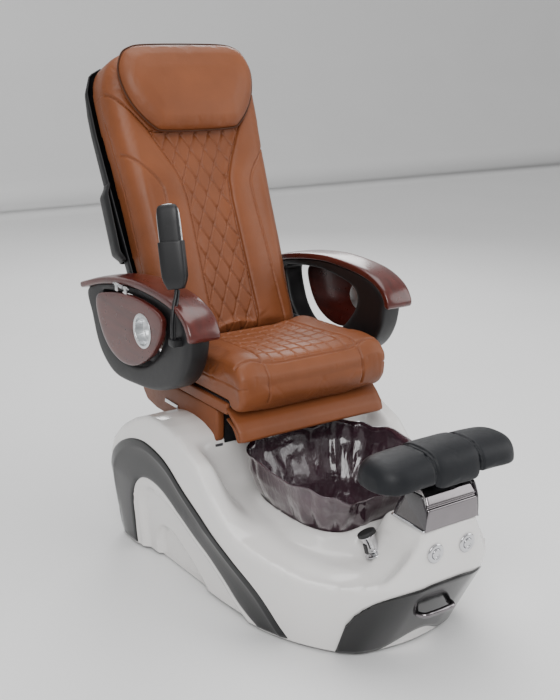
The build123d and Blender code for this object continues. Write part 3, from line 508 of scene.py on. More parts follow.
def painted_steel(name):
    """Powder-coated frame steel."""
    return moulding(name, (0.06, 0.06, 0.066), 0.45, 600.0)


def rubber(name):
    return moulding(name, (0.018, 0.018, 0.019), 0.65, 700.0)


MADE = {}


def finish(name):
    """The named finish, made the first time that it is asked for."""
    if name not in MADE:
        look = bpy.context.scene.spa_chair
        kinds = {
            "tub_white": lambda: gelcoat(name, look.tub_colour[:]),
            "gloss_black": lambda: gloss_black(name),
            "satin_black": lambda: moulding(name, (0.006, 0.006, 0.007), 0.42),
            "chrome": lambda: chrome(name),
            "dark_chrome": lambda: chrome(name, (0.26, 0.24, 0.25), 0.12),
            "cup_aluminium": lambda: chrome(name, (0.78, 0.79, 0.8), 0.28),
            "smoked_basin": lambda: smoked(name, look.basin_colour[:], 0.6, 0.12),
            "smoked_clear": lambda: smoked(name, (0.03, 0.024, 0.03), 0.1, 0.35),
            "caramel_leather": lambda: leather(name, look.leather_colour[:]),
            "seam_thread": lambda: leather(name, shade(look.leather_colour[:], 0.3), 0.5),
            "charcoal_leather": lambda: leather(name, look.footrest_colour[:], 0.5),
            "cherry_wood": lambda: cherry(name, look.wood_colour[:]),
            "frame_steel": lambda: painted_steel(name),
            "black_rubber": lambda: rubber(name),
            "grey_plastic": lambda: moulding(name, (0.12, 0.13, 0.14), 0.5),
        }
        MADE[name] = kinds[name]()
    return MADE[name]


class SpaChairLook(bpy.types.PropertyGroup):
    """Colours and sizes that a user of the chair may change."""

    tub_colour: bpy.props.FloatVectorProperty(
        name="Tub", description="Colour of the moulded tub", subtype="COLOR", default=(0.84, 0.82, 0.8)
    )
    basin_colour: bpy.props.FloatVectorProperty(
        name="Basin", description="Tint of the foot basin", subtype="COLOR", default=(0.045, 0.02, 0.03)
    )
    leather_colour: bpy.props.FloatVectorProperty(
        name="Upholstery", description="Colour of the seat and back", subtype="COLOR", default=(0.2, 0.062, 0.022)
    )
    footrest_colour: bpy.props.FloatVectorProperty(
        name="Footrest", description="Colour of the footrest pad", subtype="COLOR", default=(0.007, 0.008, 0.0105)
    )
    wood_colour: bpy.props.FloatVectorProperty(
        name="Wood", description="Colour of the armrests and trays", subtype="COLOR", default=(0.075, 0.0095, 0.006)
    )
    quilt_width: bpy.props.FloatProperty(
        name="Diamond width", description="Width of one quilted diamond", subtype="DISTANCE", default=0.051
    )
    quilt_height: bpy.props.FloatProperty(
        name="Diamond height", description="Height of one quilted diamond", subtype="DISTANCE", default=0.098
    )
    seam_depth: bpy.props.FloatProperty(
        name="Seam depth", description="How deep the seams are sewn in", subtype="DISTANCE", default=0.0055
    )


class ChairOperator:
    """What every operator of the chair has in common."""

    bl_options = {"REGISTER", "UNDO"}


# ---------------------------------------------------------------- the tub's form
FLOOR_HALF_OUTLINE = [
    (0, -623), (62, -618), (104, -611), (155, -598), (184, -577), (208, -553), (240, -508), (270, -455),
    (297, -390), (320, -305), (333, -200), (340, 0), (343, 320), (328, 374), (288, 400), (160, 409), (0, 410),
]
WAIST_HALF_OUTLINE = [
    (0, -745), (60, -745), (100, -741), (150, -720), (190, -690), (230, -652), (276, -605), (316, -541),
    (345, -460), (362, -370), (371, -260), (372, -130), (372, 50), (372, 340), (354, 396), (310, 417),
    (160, 420), (0, 420),
]
WAIST_Z = 235.0
NOSE_TOP_Z = 390.0
RIDGE = [
    (-690, 248), (-655, 236), (-605, 231), (-541, 233), (-480, 245), (-400, 255), (-330, 266), (-273, 291),
    (-193, 343), (-127, 403), (-61, 428), (-10, 452), (30, 464), (80, 469), (126, 467), (170, 458), (223, 436),
    (294, 394), (360, 331), (390, 260), (405, 180), (411, 137), (417, 60), (421, 0),
]
LEDGE = [(-700, 238), (-605, 240), (-541, 246), (-480, 254), (-400, 262), (-300, 276), (-75, 290)]
NOSE_SIDE = [(-745, 95), (-612, 83), (-560, 78)]
NOSE_FLARE_FRONT = [(0, 390), (3, 365), (27, 328), (52, 300), (95, 251), (140, 231), (300, 200)]
NOSE_FLARE_BACK = [(0, 390), (5, 378), (9, 345), (15, 306), (26, 278), (50, 256), (110, 240), (300, 200)]
BASIN_Y, BASIN_HALF, BASIN_CORNER = -303.0, 184.0, 116.0
AROUND = 440
UNDERCUT = 22.0


def basin_distance(x, y):
    """How far a point of the ledge is outside the basin's outline."""
    qx = abs(x) - (BASIN_HALF - BASIN_CORNER)
    qy = abs(y - BASIN_Y) - (BASIN_HALF - BASIN_CORNER)
    return math.hypot(max(qx, 0), max(qy, 0)) + min(max(qx, qy), 0) - BASIN_CORNER


def nose_height(x, y):
    """Height of the nose and its flared sides."""
    beyond = abs(x) - read(NOSE_SIDE, y)
    front = read(NOSE_FLARE_FRONT, beyond)
    back = read(NOSE_FLARE_BACK, beyond)
    height = mix(front, back, smooth((y + 738) / 70))
    return height - 180 * smooth((y + 604) / 130)


def saddle_height(x, y):
    """Height of the collar that hugs the basin and climbs to the nose."""
    near = smooth(1 - basin_distance(x, y) / 90)
    climb = smooth((y * -1 - 455) / 110) * smooth((165 - abs(x)) / 110)
    return 248 + near * (50 + 92 * climb)


def ridge_height(x, y):
    return max(read(RIDGE, y), nose_height(x, y) if y < -640 else 0)


def top_height(x, y, inwards, ridge):
    """Height of the tub's top, at a point that lies inwards of its outline."""
    ledge = max(read(LEDGE, y), saddle_height(x, y) if y < -60 else 0)
    if y > -75:
        ledge = mix(ledge, read(RIDGE, y), smooth((y + 75) / 45))
    shoulder = mix(26, 44, smooth((y + 330) / 200))
    height = mix(ridge, ledge, smooth((inwards - shoulder) / 80))
    if y < -500:
        height = max(height, nose_height(x, y))
    return height


def wall_place(i, z, grow=0.0):
    """A point of the tub's side wall, number i round it, at height z."""
    lower, upper = FLOOR_RING[i], WAIST_RING[i]
    t = min(1.0, z / WAIST_Z)
    x, y = mix(lower.x, upper.x, t), mix(lower.y, upper.y, t)
    if grow:
        normal = RING_NORMAL[i]
        x, y = x + normal.x * grow, y + normal.y * grow
    return x, y


FLOOR_RING = evenly(flowing(mirrored(FLOOR_HALF_OUTLINE), True), AROUND, True)
WAIST_RING = evenly(flowing(mirrored(WAIST_HALF_OUTLINE), True), AROUND, True)
RING_NORMAL = []
for i in range(AROUND + 1):
    along = WAIST_RING[(i + 1) % AROUND] - WAIST_RING[(i - 1) % AROUND]
    RING_NORMAL.append(Vector((along.y, -along.x)).normalized())

ARCH_OUTER = [
    (420, 6), (404, 107), (376, 254), (330, 315), (255, 360), (175, 381), (100, 377), (26, 357), (-62, 310),
    (-180, 256), (-295, 196), (-391, 125), (-446, 6),
]
ARCH_INNER = [
    (258, 6), (250, 140), (231, 205), (190, 252), (139, 271), (64, 266), (-27, 233), (-112, 188), (-185, 152),
    (-246, 106), (-292, 56), (-352, 6),
]
KICK_HALF, KICK_HEIGHT = 104.0, 52.0


def kick_height(x):
    """Height of the toe space's arch."""
    return KICK_HEIGHT * math.cos(math.pi * x / 2 / KICK_HALF) ** 1.6 if abs(x) < KICK_HALF else 0.0


def side_half(y, z):
    """Half of the tub's width at a point of its side."""
    return SIDE_TABLE[0](y, z)


def build_side_table():
    """Half width against y for the floor and for the waist."""
    def table(ring):
        half = sorted((p.y, p.x) for p in ring[: AROUND // 2 + 1] if p.x > 150)
        return half
    floor, waist = table(FLOOR_RING), table(WAIST_RING)
    return lambda y, z: mix(read(floor, y), read(waist, y), min(1.0, z / WAIST_Z))


SIDE_TABLE = [build_side_table()]


def basin_form(name, grow, floor_z, top_z):
    """A closed solid of the basin's bowl, to cut the tub with."""
    levels = [(floor_z, 128, 140, 100), (262, 184, 184, 116), (372, 228, 240, 126), (top_z, 240, 257, 128)]

    def ring_point(u, level):
        z, half_x, half_y, corner = level
        half_x, half_y, corner = half_x + grow, half_y + grow, corner + grow
        angle = 2 * math.pi * u
        x, y = squared(angle, half_x, half_y, 3.1)
        return x, BASIN_Y + y, z

    def place(u, v):
        row = round(v * 5)
        if row in (0, 5):
            level = levels[0] if row == 0 else levels[3]
            return at(0, BASIN_Y, level[0])
        return at(*ring_point(u, levels[row - 1]))

    return shaped(name, 96, 5, place)


def arch_relief():
    """How far the panel inside the side arch is set back, for a point of the side."""
    border = flowing(ARCH_INNER)
    outline = [(p.x, p.y) for p in border] + [(-352, -5), (258, -5)]
    distance = nearness(border)
    small = [(170, 0), (160, 60), (128, 112), (70, 122), (0, 92), (-70, 40), (-110, 0)]
    small_line = flowing(small)
    small_outline = [(p.x, p.y) for p in small_line]
    small_distance = nearness(small_line)

    def depth(y, z):
        if not within(outline, y, z):
            return 0.0
        d = distance(y, z)
        step = 4 * smooth(d / 7) + 17 * smooth((d - 26) / 22)
        if within(small_outline, y, z):
            step += 22 * smooth(small_distance(y, z) / 14)
        return step

    return depth


class SPACHAIR_OT_tub(ChairOperator, bpy.types.Operator):
    """Make the moulded white tub"""

    bl_idname = "spachair.tub"
    bl_label = "Tub"

    def execute(self, context):
        wall_rows, top_rows, floor_rows = 26, 60, 5
        rows = wall_rows + top_rows + floor_rows

        def place(u, v):
            i, row = round(u * AROUND), round(v * rows)
            rim = WAIST_RING[i]
            ridge = max(6.0, ridge_height(rim.x, rim.y))
            if row <= floor_rows:
                x, y = wall_place(i, 0)
                k = 1 - row / floor_rows
                spine_y = min(240, max(-560, y))
                return at(mix(x, 0, k), mix(y, spine_y, k), -UNDERCUT)
            if row <= floor_rows + wall_rows:
                z = mix(-UNDERCUT, ridge, (row - floor_rows) / wall_rows)
                x, y = wall_place(i, max(0.0, z))
                return at(x, y, z)
            k = ((row - floor_rows - wall_rows) / top_rows) ** 1.25
            x0, y0 = wall_place(i, ridge)
            spine_y = min(240, max(-600, y0))
            x, y = mix(x0, 0, k), mix(y0, spine_y, k)
            inwards = k * math.hypot(x0, y0 - spine_y)
            return at(x, y, top_height(x, y, inwards, ridge))

        tub = shaped("tub_body", AROUND, rows, place)
        remeshed(tub, 0.0075, 7)

        relief = arch_relief()
        for v in tub.data.vertices:
            x, y, z = drawn(v.co)
            if abs(x) > side_half(y, z) - 8 and z < 300:
                v.co.x -= math.copysign(relief(y, z), x) / 1000

        cutter = basin_form("basin_cut", 1.5, 110, 500)
        kick = shaped(
            "kick_cut", 40, 3,
            lambda u, v: at(mix(-KICK_HALF, KICK_HALF, u), (-900, -900, -420, -420)[round(v * 3)],
                            kick_height(mix(-KICK_HALF, KICK_HALF, u)) if round(v * 3) in (1, 2) else -30),
        )
        bm = bmesh.new()
        bm.from_mesh(kick.data)
        bmesh.ops.holes_fill(bm, edges=[e for e in bm.edges if e.is_boundary], sides=0)
        bmesh.ops.recalc_face_normals(bm, faces=bm.faces)
        bm.to_mesh(kick.data)
        bm.free()
        for tool in (cutter, kick):
            cut = tub.modifiers.new("cut", "BOOLEAN")
            cut.operation, cut.object, cut.solver = "DIFFERENCE", tool, "EXACT"
        apply_modifiers(tub)
        for tool in (cutter, kick):
            bpy.data.objects.remove(tool)

        bm = bmesh.new()
        bm.from_mesh(tub.data)
        bmesh.ops.bisect_plane(
            bm, geom=bm.verts[:] + bm.edges[:] + bm.faces[:], plane_co=(0, 0, 0.001), plane_no=(0, 0, 1), clear_inner=True
        )
        underside = []
        for f in bm.faces:
            x, y, z = drawn(f.calc_center_median())
            in_kick = abs(x) < KICK_HALF + 4 and z < kick_height(x) + 3 and -600 < y < -380
            on_plinth = abs(x) < 214 and -36 < y < 362 and z > 400
            if in_kick or on_plinth:
                underside.append(f)
        bmesh.ops.delete(bm, geom=list(set(underside)), context="FACES")
        bm.to_mesh(tub.data)
        bm.free()
        tub.data.shade_smooth()
        wall(tub, 0.006)
        fit(tub, "tub", "tub_white", "tub_white", "tub_shell")
        return {"FINISHED"}


class SPACHAIR_OT_trims(ChairOperator, bpy.types.Operator):
    """Make the gloss black side arches and the toe panel with its handle"""

    bl_idname = "spachair.trims"
    bl_label = "Trims"

    def execute(self, context):
        along, across = 150, 22
        outer = evenly(flowing(ARCH_OUTER), along)
        inner = evenly(flowing(list(reversed(ARCH_INNER))), along)
        inner = list(reversed(inner))
        section = [
            (0.0, -3.0), (0.0, 1.0), (0.012, 2.6), (0.04, 3.6), (0.1, 4.2), (0.17, 5.6), (0.2, 5.8), (0.24, 5.0),
            (0.3, 4.0), (0.5, 3.6), (0.7, 3.4), (0.9, 3.6), (0.97, 3.0), (0.992, 1.6), (1.0, 0.4), (1.0, -3.0),
        ]
        profile = evenly([Vector(p) for p in section], across)
        profile = [Vector(p) for p in section]
        steps = len(profile) - 1

        def place(u, v):
            i = round(u * along)
            t, proud = profile[round(v * steps)]
            p = outer[i].lerp(inner[i], t)
            return at(side_half(p.x, p.y) + proud, p.x, max(p.y, 1.5))

        left = shaped("arch_trim_left_cover", along, steps, place)
        wall(left, 0.003)
        right = mirror_copy(left, "arch_trim_right_cover")
        wall(right, 0.003)
        fit(left, "tub", "gloss_black", "gloss_black", "arch_trims")
        fit(right, "tub", "gloss_black", "gloss_black")

        first = min(range(AROUND), key=lambda i: abs(FLOOR_RING[i].x - 205) + (FLOOR_RING[i].y > -400) * 999)
        top_edge = [
            (0, 240), (50, 240), (80, 236), (112, 230), (136, 222), (162, 208), (184, 188), (200, 158), (210, 122),
            (216, 78), (214, 40), (208, 2),
        ]
        top_edge = [(p.x, p.y) for p in flowing(top_edge)]
        rows = 26
        lip = [(-3.0, 0.0), (1.2, 0.0), (2.6, 0.006), (3.6, 0.02)]

        def toe_place(u, v):
            s = mix(-1.0, 1.0, u)
            i = round(abs(s) * first)
            row = round(v * rows)
            ring_i = i if s >= 0 else AROUND - i
            # Climb the wall until the panel's edge curve is met.
            t = min(1.0, max(0.0, (row - 3) / (rows - 6)))
            low = kick_height(WAIST_RING[ring_i % AROUND].x * 0.8)
            x_mid = abs(wall_place(ring_i % AROUND, 60)[0])
            high = max(low + 4, read(top_edge, x_mid) if x_mid < 216 else 4)
            z = mix(max(low, 1.5), high, t)
            x, y = wall_place(ring_i % AROUND, z)
            x_edge = abs(x)
            limit = read(top_edge, x_edge)
            if z > limit:
                z = max(1.5, limit)
            proud = 4.2 if 3 <= row <= rows - 3 else (1.0 if row in (2, rows - 2) else -3.0)
            proud = {0: -3.0, 1: 0.6, 2: 3.0}.get(row, {0: -3.0, 1: 0.6, 2: 3.0}.get(rows - row, 4.2))
            x, y = wall_place(ring_i % AROUND, z, proud)
            return at(x, y, z)

        toe = shaped("toe_panel_cover", 2 * first, rows, toe_place)
        wall(toe, 0.003)
        fit(toe, "tub", "gloss_black", "gloss_black", "toe_panel")

        low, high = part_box("toe_handle")
        mid_z, half = (low.z + high.z) / 2, (high.x - low.x) / 2 - 0.008
        front, back = low.y + 0.008, high.y + 0.012
        corners = flowing(
            [(-half, back, mid_z), (-half, mix(back, front, 0.6), mid_z), (-half + 0.009, front + 0.002, mid_z + 0.002),
             (-half + 0.03, front, mid_z + 0.002), (0, front - 0.001, mid_z + 0.002),
             (half - 0.03, front, mid_z + 0.002), (half - 0.009, front + 0.002, mid_z + 0.002),
             (half, mix(back, front, 0.6), mid_z), (half, back, mid_z)]
        )
        handle = tube("toe_grab_handle", evenly(corners, 60), 0.0075, 20)
        fit(handle, "tub", "dark_chrome", "chrome", "toe_handle")
        return {"FINISHED"}


class SPACHAIR_OT_basin(ChairOperator, bpy.types.Operator):
    """Make the smoked foot basin with its folded, rippled rim"""

    bl_idname = "spachair.basin"
    bl_label = "Basin"

    def execute(self, context):
        turns, rows = 300, 74
        levels = [(118, 118, 130), (126, 132, 143), (180, 155, 160), (262, 184, 184), (310, 203, 208),
                  (372, 227, 238), (432, 236, 251)]
        half_x = [(z, a) for z, a, b in levels]
        half_y = [(z, b) for z, a, b in levels]

        def lumps(angle, z):
            """Rounded folds that run round the bowl like stones under the rim."""
            turn = Vector((math.cos(angle), math.sin(angle), 0))
            step = 0.5 + 0.5 * math.sin(17 * angle + 2.2 * noise.noise(turn * 1.7))
            band = bell(z - 322, 30) + 0.7 * bell(z - 392, 34)
            rough = noise.noise(turn * 9 + Vector((0, 0, z / 55)))
            return band * (11.0 * step ** 0.6 - 5.0 + 6.0 * rough) * smooth((z - 256) / 34)

        def rim_height(angle):
            wave = math.sin(7 * angle + 0.7) * 5 + math.sin(13 * angle) * 4
            front = smooth((-math.sin(angle) - 0.2) / 0.8)
            return 428 - 20 * front + wave

        wall_thick = 7.0

        def place(u, v):
            angle = 2 * math.pi * u
            row = round(v * rows)
            top = rim_height(angle)
            inner = row > rows // 2
            t = row / (rows // 2) if not inner else (rows - row) / (rows - rows // 2)
            if row in (0, rows):
                return at(0, BASIN_Y, 118 if row == 0 else 125)
            floor_z = 118 if not inner else 125
            z = mix(floor_z, top, max(0.0, (t - 0.12) / 0.88)) if t > 0.12 else floor_z
            shrink = min(1.0, t / 0.12)
            offset = wall_thick if inner else 0.0
            lip = smooth((z - (top - 16)) / 16)
            a, b = read(half_x, z) - offset, read(half_y, z) - offset
            bump = lumps(angle, z)
            if inner:
                bump = bump * 0.9 + 1.6 * noise.noise(Vector((math.cos(angle) * 14, math.sin(angle) * 14, z / 30)))
            out = bump - 1.0 + (5 * lip if not inner else -1.5 * lip)
            if z < 300 and not inner:
                out = min(out, 0.0)
            x, y = squared(angle, (a + out) * shrink, (b + out) * shrink, 3.0)
            if lip > 0.98:
                z -= 2.5
            return at(x, BASIN_Y + y, z)

        basin = shaped("foot_basin", turns, rows, place)
        soften = basin.modifiers.new("finer", "SUBSURF")
        soften.levels = soften.render_levels = 1
        fit(basin, "tub", "smoked_basin", "smoked_basin", "basin")

        for node in ("drain_flange", "drain_stopper"):
            frame["nodes"][node].data.materials.clear()
            frame["nodes"][node].data.materials.append(finish("chrome"))
        low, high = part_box("jet_housing")
        centre = Vector(((low.x + high.x) / 2, (low.y + high.y) / 2, low.z))
        profile = rounded_profile(
            [(0, 0), (46, 0), (46, 32), (38, 32), (36, 27), (38, 20), (38, 6), (0, 6)], 2.5
        )
        jet = revolved("jet_cover", centre, (0, 0, 1), profile, 64)
        fit(jet, "tub", "chrome", "chrome", "jet_housing")
        return {"FINISHED"}


class SPACHAIR_OT_fittings(ChairOperator, bpy.types.Operator):
    """Make the hand sprayer and the air buttons"""

    bl_idname = "spachair.fittings"
    bl_label = "Sprayer and buttons"

    def execute(self, context):
        axis = Vector((-0.27, 0.36, 0.893)).normalized()
        base = at(-100, -578, 264)
        socket = revolved(
            "sprayer_collar", base, axis,
            rounded_profile([(14, -30), (17, -30), (17, 0), (29, 0), (29, 3.5), (23, 6), (21, 9), (14, 9), (14, -30)], 1.5),
            56,
        )
        fit(socket, "tub", "chrome", "chrome", "sprayer_socket")
        barrel = revolved(
            "sprayer_barrel", base, axis,
            rounded_profile(
                [(0, -26), (8.5, -26), (11.5, 9.5), (15.5, 9.6), (15.5, 14), (14.4, 15), (14.4, 17), (15.5, 18),
                 (15.5, 30), (17.5, 44), (21, 52), (21, 55.4), (0, 55.4)], 1.0, 3),
            56,
        )
        fit(barrel, "sprayer", "chrome", "chrome", "sprayer_body")
        bm = bmesh.new()
        face = revolved(
            "sprayer_rose", base, axis,
            rounded_profile([(0, 55.5), (23, 55.5), (25, 57), (25, 64), (23.5, 66.4), (20, 66.4), (19, 65.2), (0, 65.6)], 1.2, 3),
            64,
        )
        fit(face, "sprayer", "black_rubber", "black_rubber", "sprayer_face")
        bm.free()
        frame["nodes"]["sprayer_trigger"].data.materials.clear()
        frame["nodes"]["sprayer_trigger"].data.materials.append(finish("satin_black"))

        bezels = []
        for side, name in ((1, "left"), (-1, "right")):
            centre = at(54 * side, -746, 327)
            bezels.append(revolved(
                f"bezel_{name}", centre, (0, -1, 0),
                rounded_profile([(14, -24), (21, -24), (21.5, 0), (26, 0), (26, 2.6), (23, 4.8), (16, 5), (14, 3.4), (14, -24)], 1.2, 3),
                56,
            ))
            cap = revolved(
                f"air_button_{name}_cap", centre, (0, -1, 0),
                rounded_profile([(0, -14), (13.5, -14), (13.5, 5.6), (11.8, 6.9), (9, 6.9), (8, 5.6), (5, 5.2), (0, 6.2)], 0.9, 3),
                48,
            )
            fit(cap, f"air_button_{name}", "chrome", "chrome", f"air_button_{name}")
        fit(joined("button_rings", *bezels), "tub", "chrome", "chrome", "button_bezels")
        return {"FINISHED"}


class SPACHAIR_OT_footrest(ChairOperator, bpy.types.Operator):
    """Make the footrest: its chrome column, smoked cheeks and padded sections"""

    bl_idname = "spachair.footrest"
    bl_label = "Footrest"

    def execute(self, context):
        def box_strip(name, sections, half_of, sides=2):
            """A bent panel that runs along a profile of (y, z) points, from side to side."""
            line = rounded_profile(sections, 3.0, 4)
            steps = len(line) - 1
            return shaped(
                name, 24, steps,
                lambda u, v: at(mix(-1, 1, u) * half_of(line[round(v * steps)][1]), *line[round(v * steps)]),
            )

        lower = box_strip(
            "footrest_lower_panel",
            [(-632, 391), (-744, 391), (-743, 420), (-741.5, 446), (-736, 449), (-735.5, 451)],
            lambda z: mix(90, 82.5, smooth((z - 391) / 70)),
        )
        wall(lower, 0.003)
        fit(lower, "tub", "dark_chrome", "chrome", "footrest_base")
        upper = box_strip(
            "footrest_upper_panel",
            [(-733, 396), (-733, 449), (-736, 453), (-735, 458), (-722, 476), (-706, 487), (-672, 495), (-640, 491)],
            lambda z: mix(82, 74, smooth((z - 450) / 50)),
        )
        wall(upper, 0.003)
        fit(upper, "footrest_carrier", "dark_chrome", "chrome", "footrest_slider")

        outline = rounded_profile(
            [(-742, 391), (-622, 391), (-628, 412), (-641, 440), (-657, 466), (-690, 482), (-722, 482), (-738, 450),
             (-743, 415), (-742, 391)], 8.0, 4)
        cheeks = []
        for side in (1, -1):
            centre = Vector((-690, 436))
            count = len(outline) - 1

            def place(u, v, side=side):
                p = outline[round(u * count)]
                row = round(v * 6)
                k = (0, 0.9, 1.0, 1.0, 0.9, 0)[min(row, 5)] if row < 6 else 0
                x = (84.5, 84.5, 86, 90, 91.5, 91.5, 91.5)[row]
                k = (0, 0.93, 1.0, 1.0, 0.93, 0, 0)[row]
                q = centre.lerp(p, k)
                return at(side * x, q.x, q.y)

            cheeks.append(shaped("cheek", count, 5, lambda u, v, place=place: place(u, v * 5 / 6)))
        fit(joined("footrest_cheek_covers", *cheeks), "tub", "smoked_clear", "smoked_clear", "footrest_cheeks")

        edge = [at(92 * s, y, z) for s in (1,) for y, z in ((-742, 392), (-700, 393), (-660, 394), (-622, 395))]
        strips = [
            tube("strip_a", evenly(flowing(edge), 20), 0.0035, 10),
            tube("strip_b", [Vector((-p.x, p.y, p.z)) for p in evenly(flowing(edge), 20)], 0.0035, 10),
        ]
        fit(joined("footrest_edge_strips", *strips), "tub", "chrome", "chrome")

        middle_y, half_depth, base_z = -678.0, 84.0, 521.0

        def pad_section(x, half, top, low):
            """A point finder for the pad's cross-section: a loaf with a rounded front that rolls under."""
            def point(angle):
                c, s = math.cos(angle), math.sin(angle)
                y = middle_y + half * math.copysign(abs(c) ** 0.72, c)
                z = base_z + (top if s > 0 else low) * math.copysign(abs(s) ** 0.8, s)
                return y, z
            return point

        def middle_place(u, v):
            x = mix(-74.5, 74.5, u)
            row_angle = 2 * math.pi * v
            swell = 1 - 0.05 * abs(x / 74.5) ** 6
            y, z = pad_section(x, half_depth * swell, 70 * swell, 6)(row_angle)
            front = smooth((-y - 728) / 34)
            z -= front * 10 * max(0.0, 1 - (z - base_z) / 60) * 1.4
            return at(x, y, z)

        def wing_place(u, v):
            t = u
            x = mix(75, 229, t)
            angle = 2 * math.pi * v
            end = max(0.0, (x - 150) / 79)
            plan = math.sqrt(max(0.0, 1 - end ** 2.4))
            dome = max(0.0, 1 - end ** 4) ** 0.5
            half = max(0.5, (half_depth - 2) * (0.12 + 0.88 * plan) if end < 1 else 0.5)
            top = 66 * (0.25 + 0.75 * dome)
            if end >= 1:
                half, top = 0.01, 0.01
            y, z = pad_section(x, half, top, 4)(angle)
            return at(x, y, z - 6 * smooth((x - 90) / 140))

        def capped(name, across, around, place):
            bm = bmesh.new()
            surface(bm, across, around, place)
            bmesh.ops.holes_fill(bm, edges=[e for e in bm.edges if e.is_boundary], sides=0)
            return to_object(bm, name)

        middle = capped("footrest_middle_pad", 30, 72, middle_place)
        puffed(middle, 0.005, 0.004)
        pressed(middle, lambda x, y, z, n: 3.2 * bell(abs(x) - 70, 3.0) * (abs(n.x) < 0.8))
        fit(middle, "footrest", "charcoal_leather", "charcoal_leather", "footrest_pad_middle", "footrest_board")
        wing = capped("footrest_wing_left", 40, 72, wing_place)
        puffed(wing, 0.005, 0.004)
        pressed(wing, lambda x, y, z, n: 3.0 * bell(x - 80, 3.0) * (abs(n.x) < 0.8))
        other = mirror_copy(wing, "footrest_wing_right")
        fit(wing, "footrest", "charcoal_leather", "charcoal_leather", "footrest_pad_wings")
        fit(other, "footrest", "charcoal_leather", "charcoal_leather")
        return {"FINISHED"}


# ---------------------------------------------------------------- upholstery and armrests
SLOT_OF = {row["node"]: row["material_slot"] for row in frame["record"]["subparts"]}


def block(name, low, high, radius):
    """A box between two drawn corners, with rounded edges."""
    a, b = at(*low), at(*high)
    bm = bmesh.new()
    bmesh.ops.create_cube(bm, size=1.0)
    for v in bm.verts:
        v.co = Vector(((a.x + b.x) / 2 + v.co.x * (b.x - a.x), (a.y + b.y) / 2 + v.co.y * (b.y - a.y),
                       (a.z + b.z) / 2 + v.co.z * (b.z - a.z)))
    bmesh.ops.bevel(bm, geom=bm.edges[:], offset=radius / 1000, segments=4, affect="EDGES", profile=0.5, material=-1)
    return to_object(bm, name)


def slab(name, outline, near, far, radius):
    """A plate whose outline of (y, z) points stands between two distances across the chair."""
    line = outline if len(outline) > 60 else [Vector(p) for p in outline]
    middle = sum((Vector(p) for p in line), Vector((0, 0))) / len(line)
    count = len(line)
    rows = [(near, radius), (near + radius * 0.3, radius * 0.3), (near + radius, 0), (far - radius, 0),
            (far - radius * 0.3, radius * 0.3), (far, radius)]

    def place(u, v):
        p = Vector(line[round(u * count) % count])
        x, inset = rows[round(v * 5)]
        towards = middle - p
        q = p + towards * (inset / max(towards.length, 1))
        return at(x, q.x, q.y)

    bm = bmesh.new()
    surface(bm, count, 5, place)
    bmesh.ops.holes_fill(bm, edges=[e for e in bm.edges if e.is_boundary], sides=0)
    return to_object(bm, name)


def radius_at(line, centre, angle):
    """Where a ray from the centre leaves a closed outline."""
    ray = Vector((math.cos(angle), math.sin(angle)))
    best = 0.0
    for a, b in zip(line, line[1:] + line[:1]):
        ax, ay = a.x - centre.x, a.y - centre.y
        dx, dy = b.x - a.x, b.y - a.y
        bottom = ray.x * dy - ray.y * dx
        if abs(bottom) < 1e-9:
            continue
        far = (ax * dy - ay * dx) / bottom
        t = (ax * ray.y - ay * ray.x) / bottom
        if -1e-6 <= t <= 1 + 1e-6 and far > best:
            best = far
    return best


def ring_plate(name, outer, inner, centre, near, far, power, turns=220):
    """A closed ring between an outer and an inner outline, with a rounded section."""
    centre = Vector(centre)
    outer, inner = flowing(outer, True, 8), flowing(inner, True, 8)
    spans = []
    for i in range(turns):
        angle = 2 * math.pi * i / turns
        spans.append((angle, radius_at(inner, centre, angle), radius_at(outer, centre, angle)))
    middle_x, half_x = (near + far) / 2, (far - near) / 2

    def place(u, v):
        angle, low, high = spans[round(u * turns) % turns]
        a, b = squared(2 * math.pi * v, (high - low) / 2, half_x, power)
        r = (low + high) / 2 + a
        return at(middle_x + b, centre.x + r * math.cos(angle), centre.y + r * math.sin(angle))

    return shaped(name, turns, 36, place)


QUILT_EDGE = [(82, -70), (78, 300), (80, 400), (95, 470), (162, 600)]
YOKE_EDGE = [(162, 600), (215, 668), (285, 750)]
BOLSTER_SEAM = [(285, 566), (215, 500), (168, 440), (158, 380), (168, 200), (180, -70)]
BACK_HALF = [(-58, 236), (0, 240), (53, 241), (219, 249), (369, 253), (519, 259), (653, 269), (741, 270), (790, 262),
             (830, 240), (852, 205), (864, 168)]
PILLOW_OUTLINE = [
    (-105, 592), (105, 592), (160, 612), (215, 685), (236, 768), (218, 828), (185, 854), (115, 864),
    (-115, 864), (-185, 854), (-218, 828), (-236, 768), (-215, 685), (-160, 612),
]


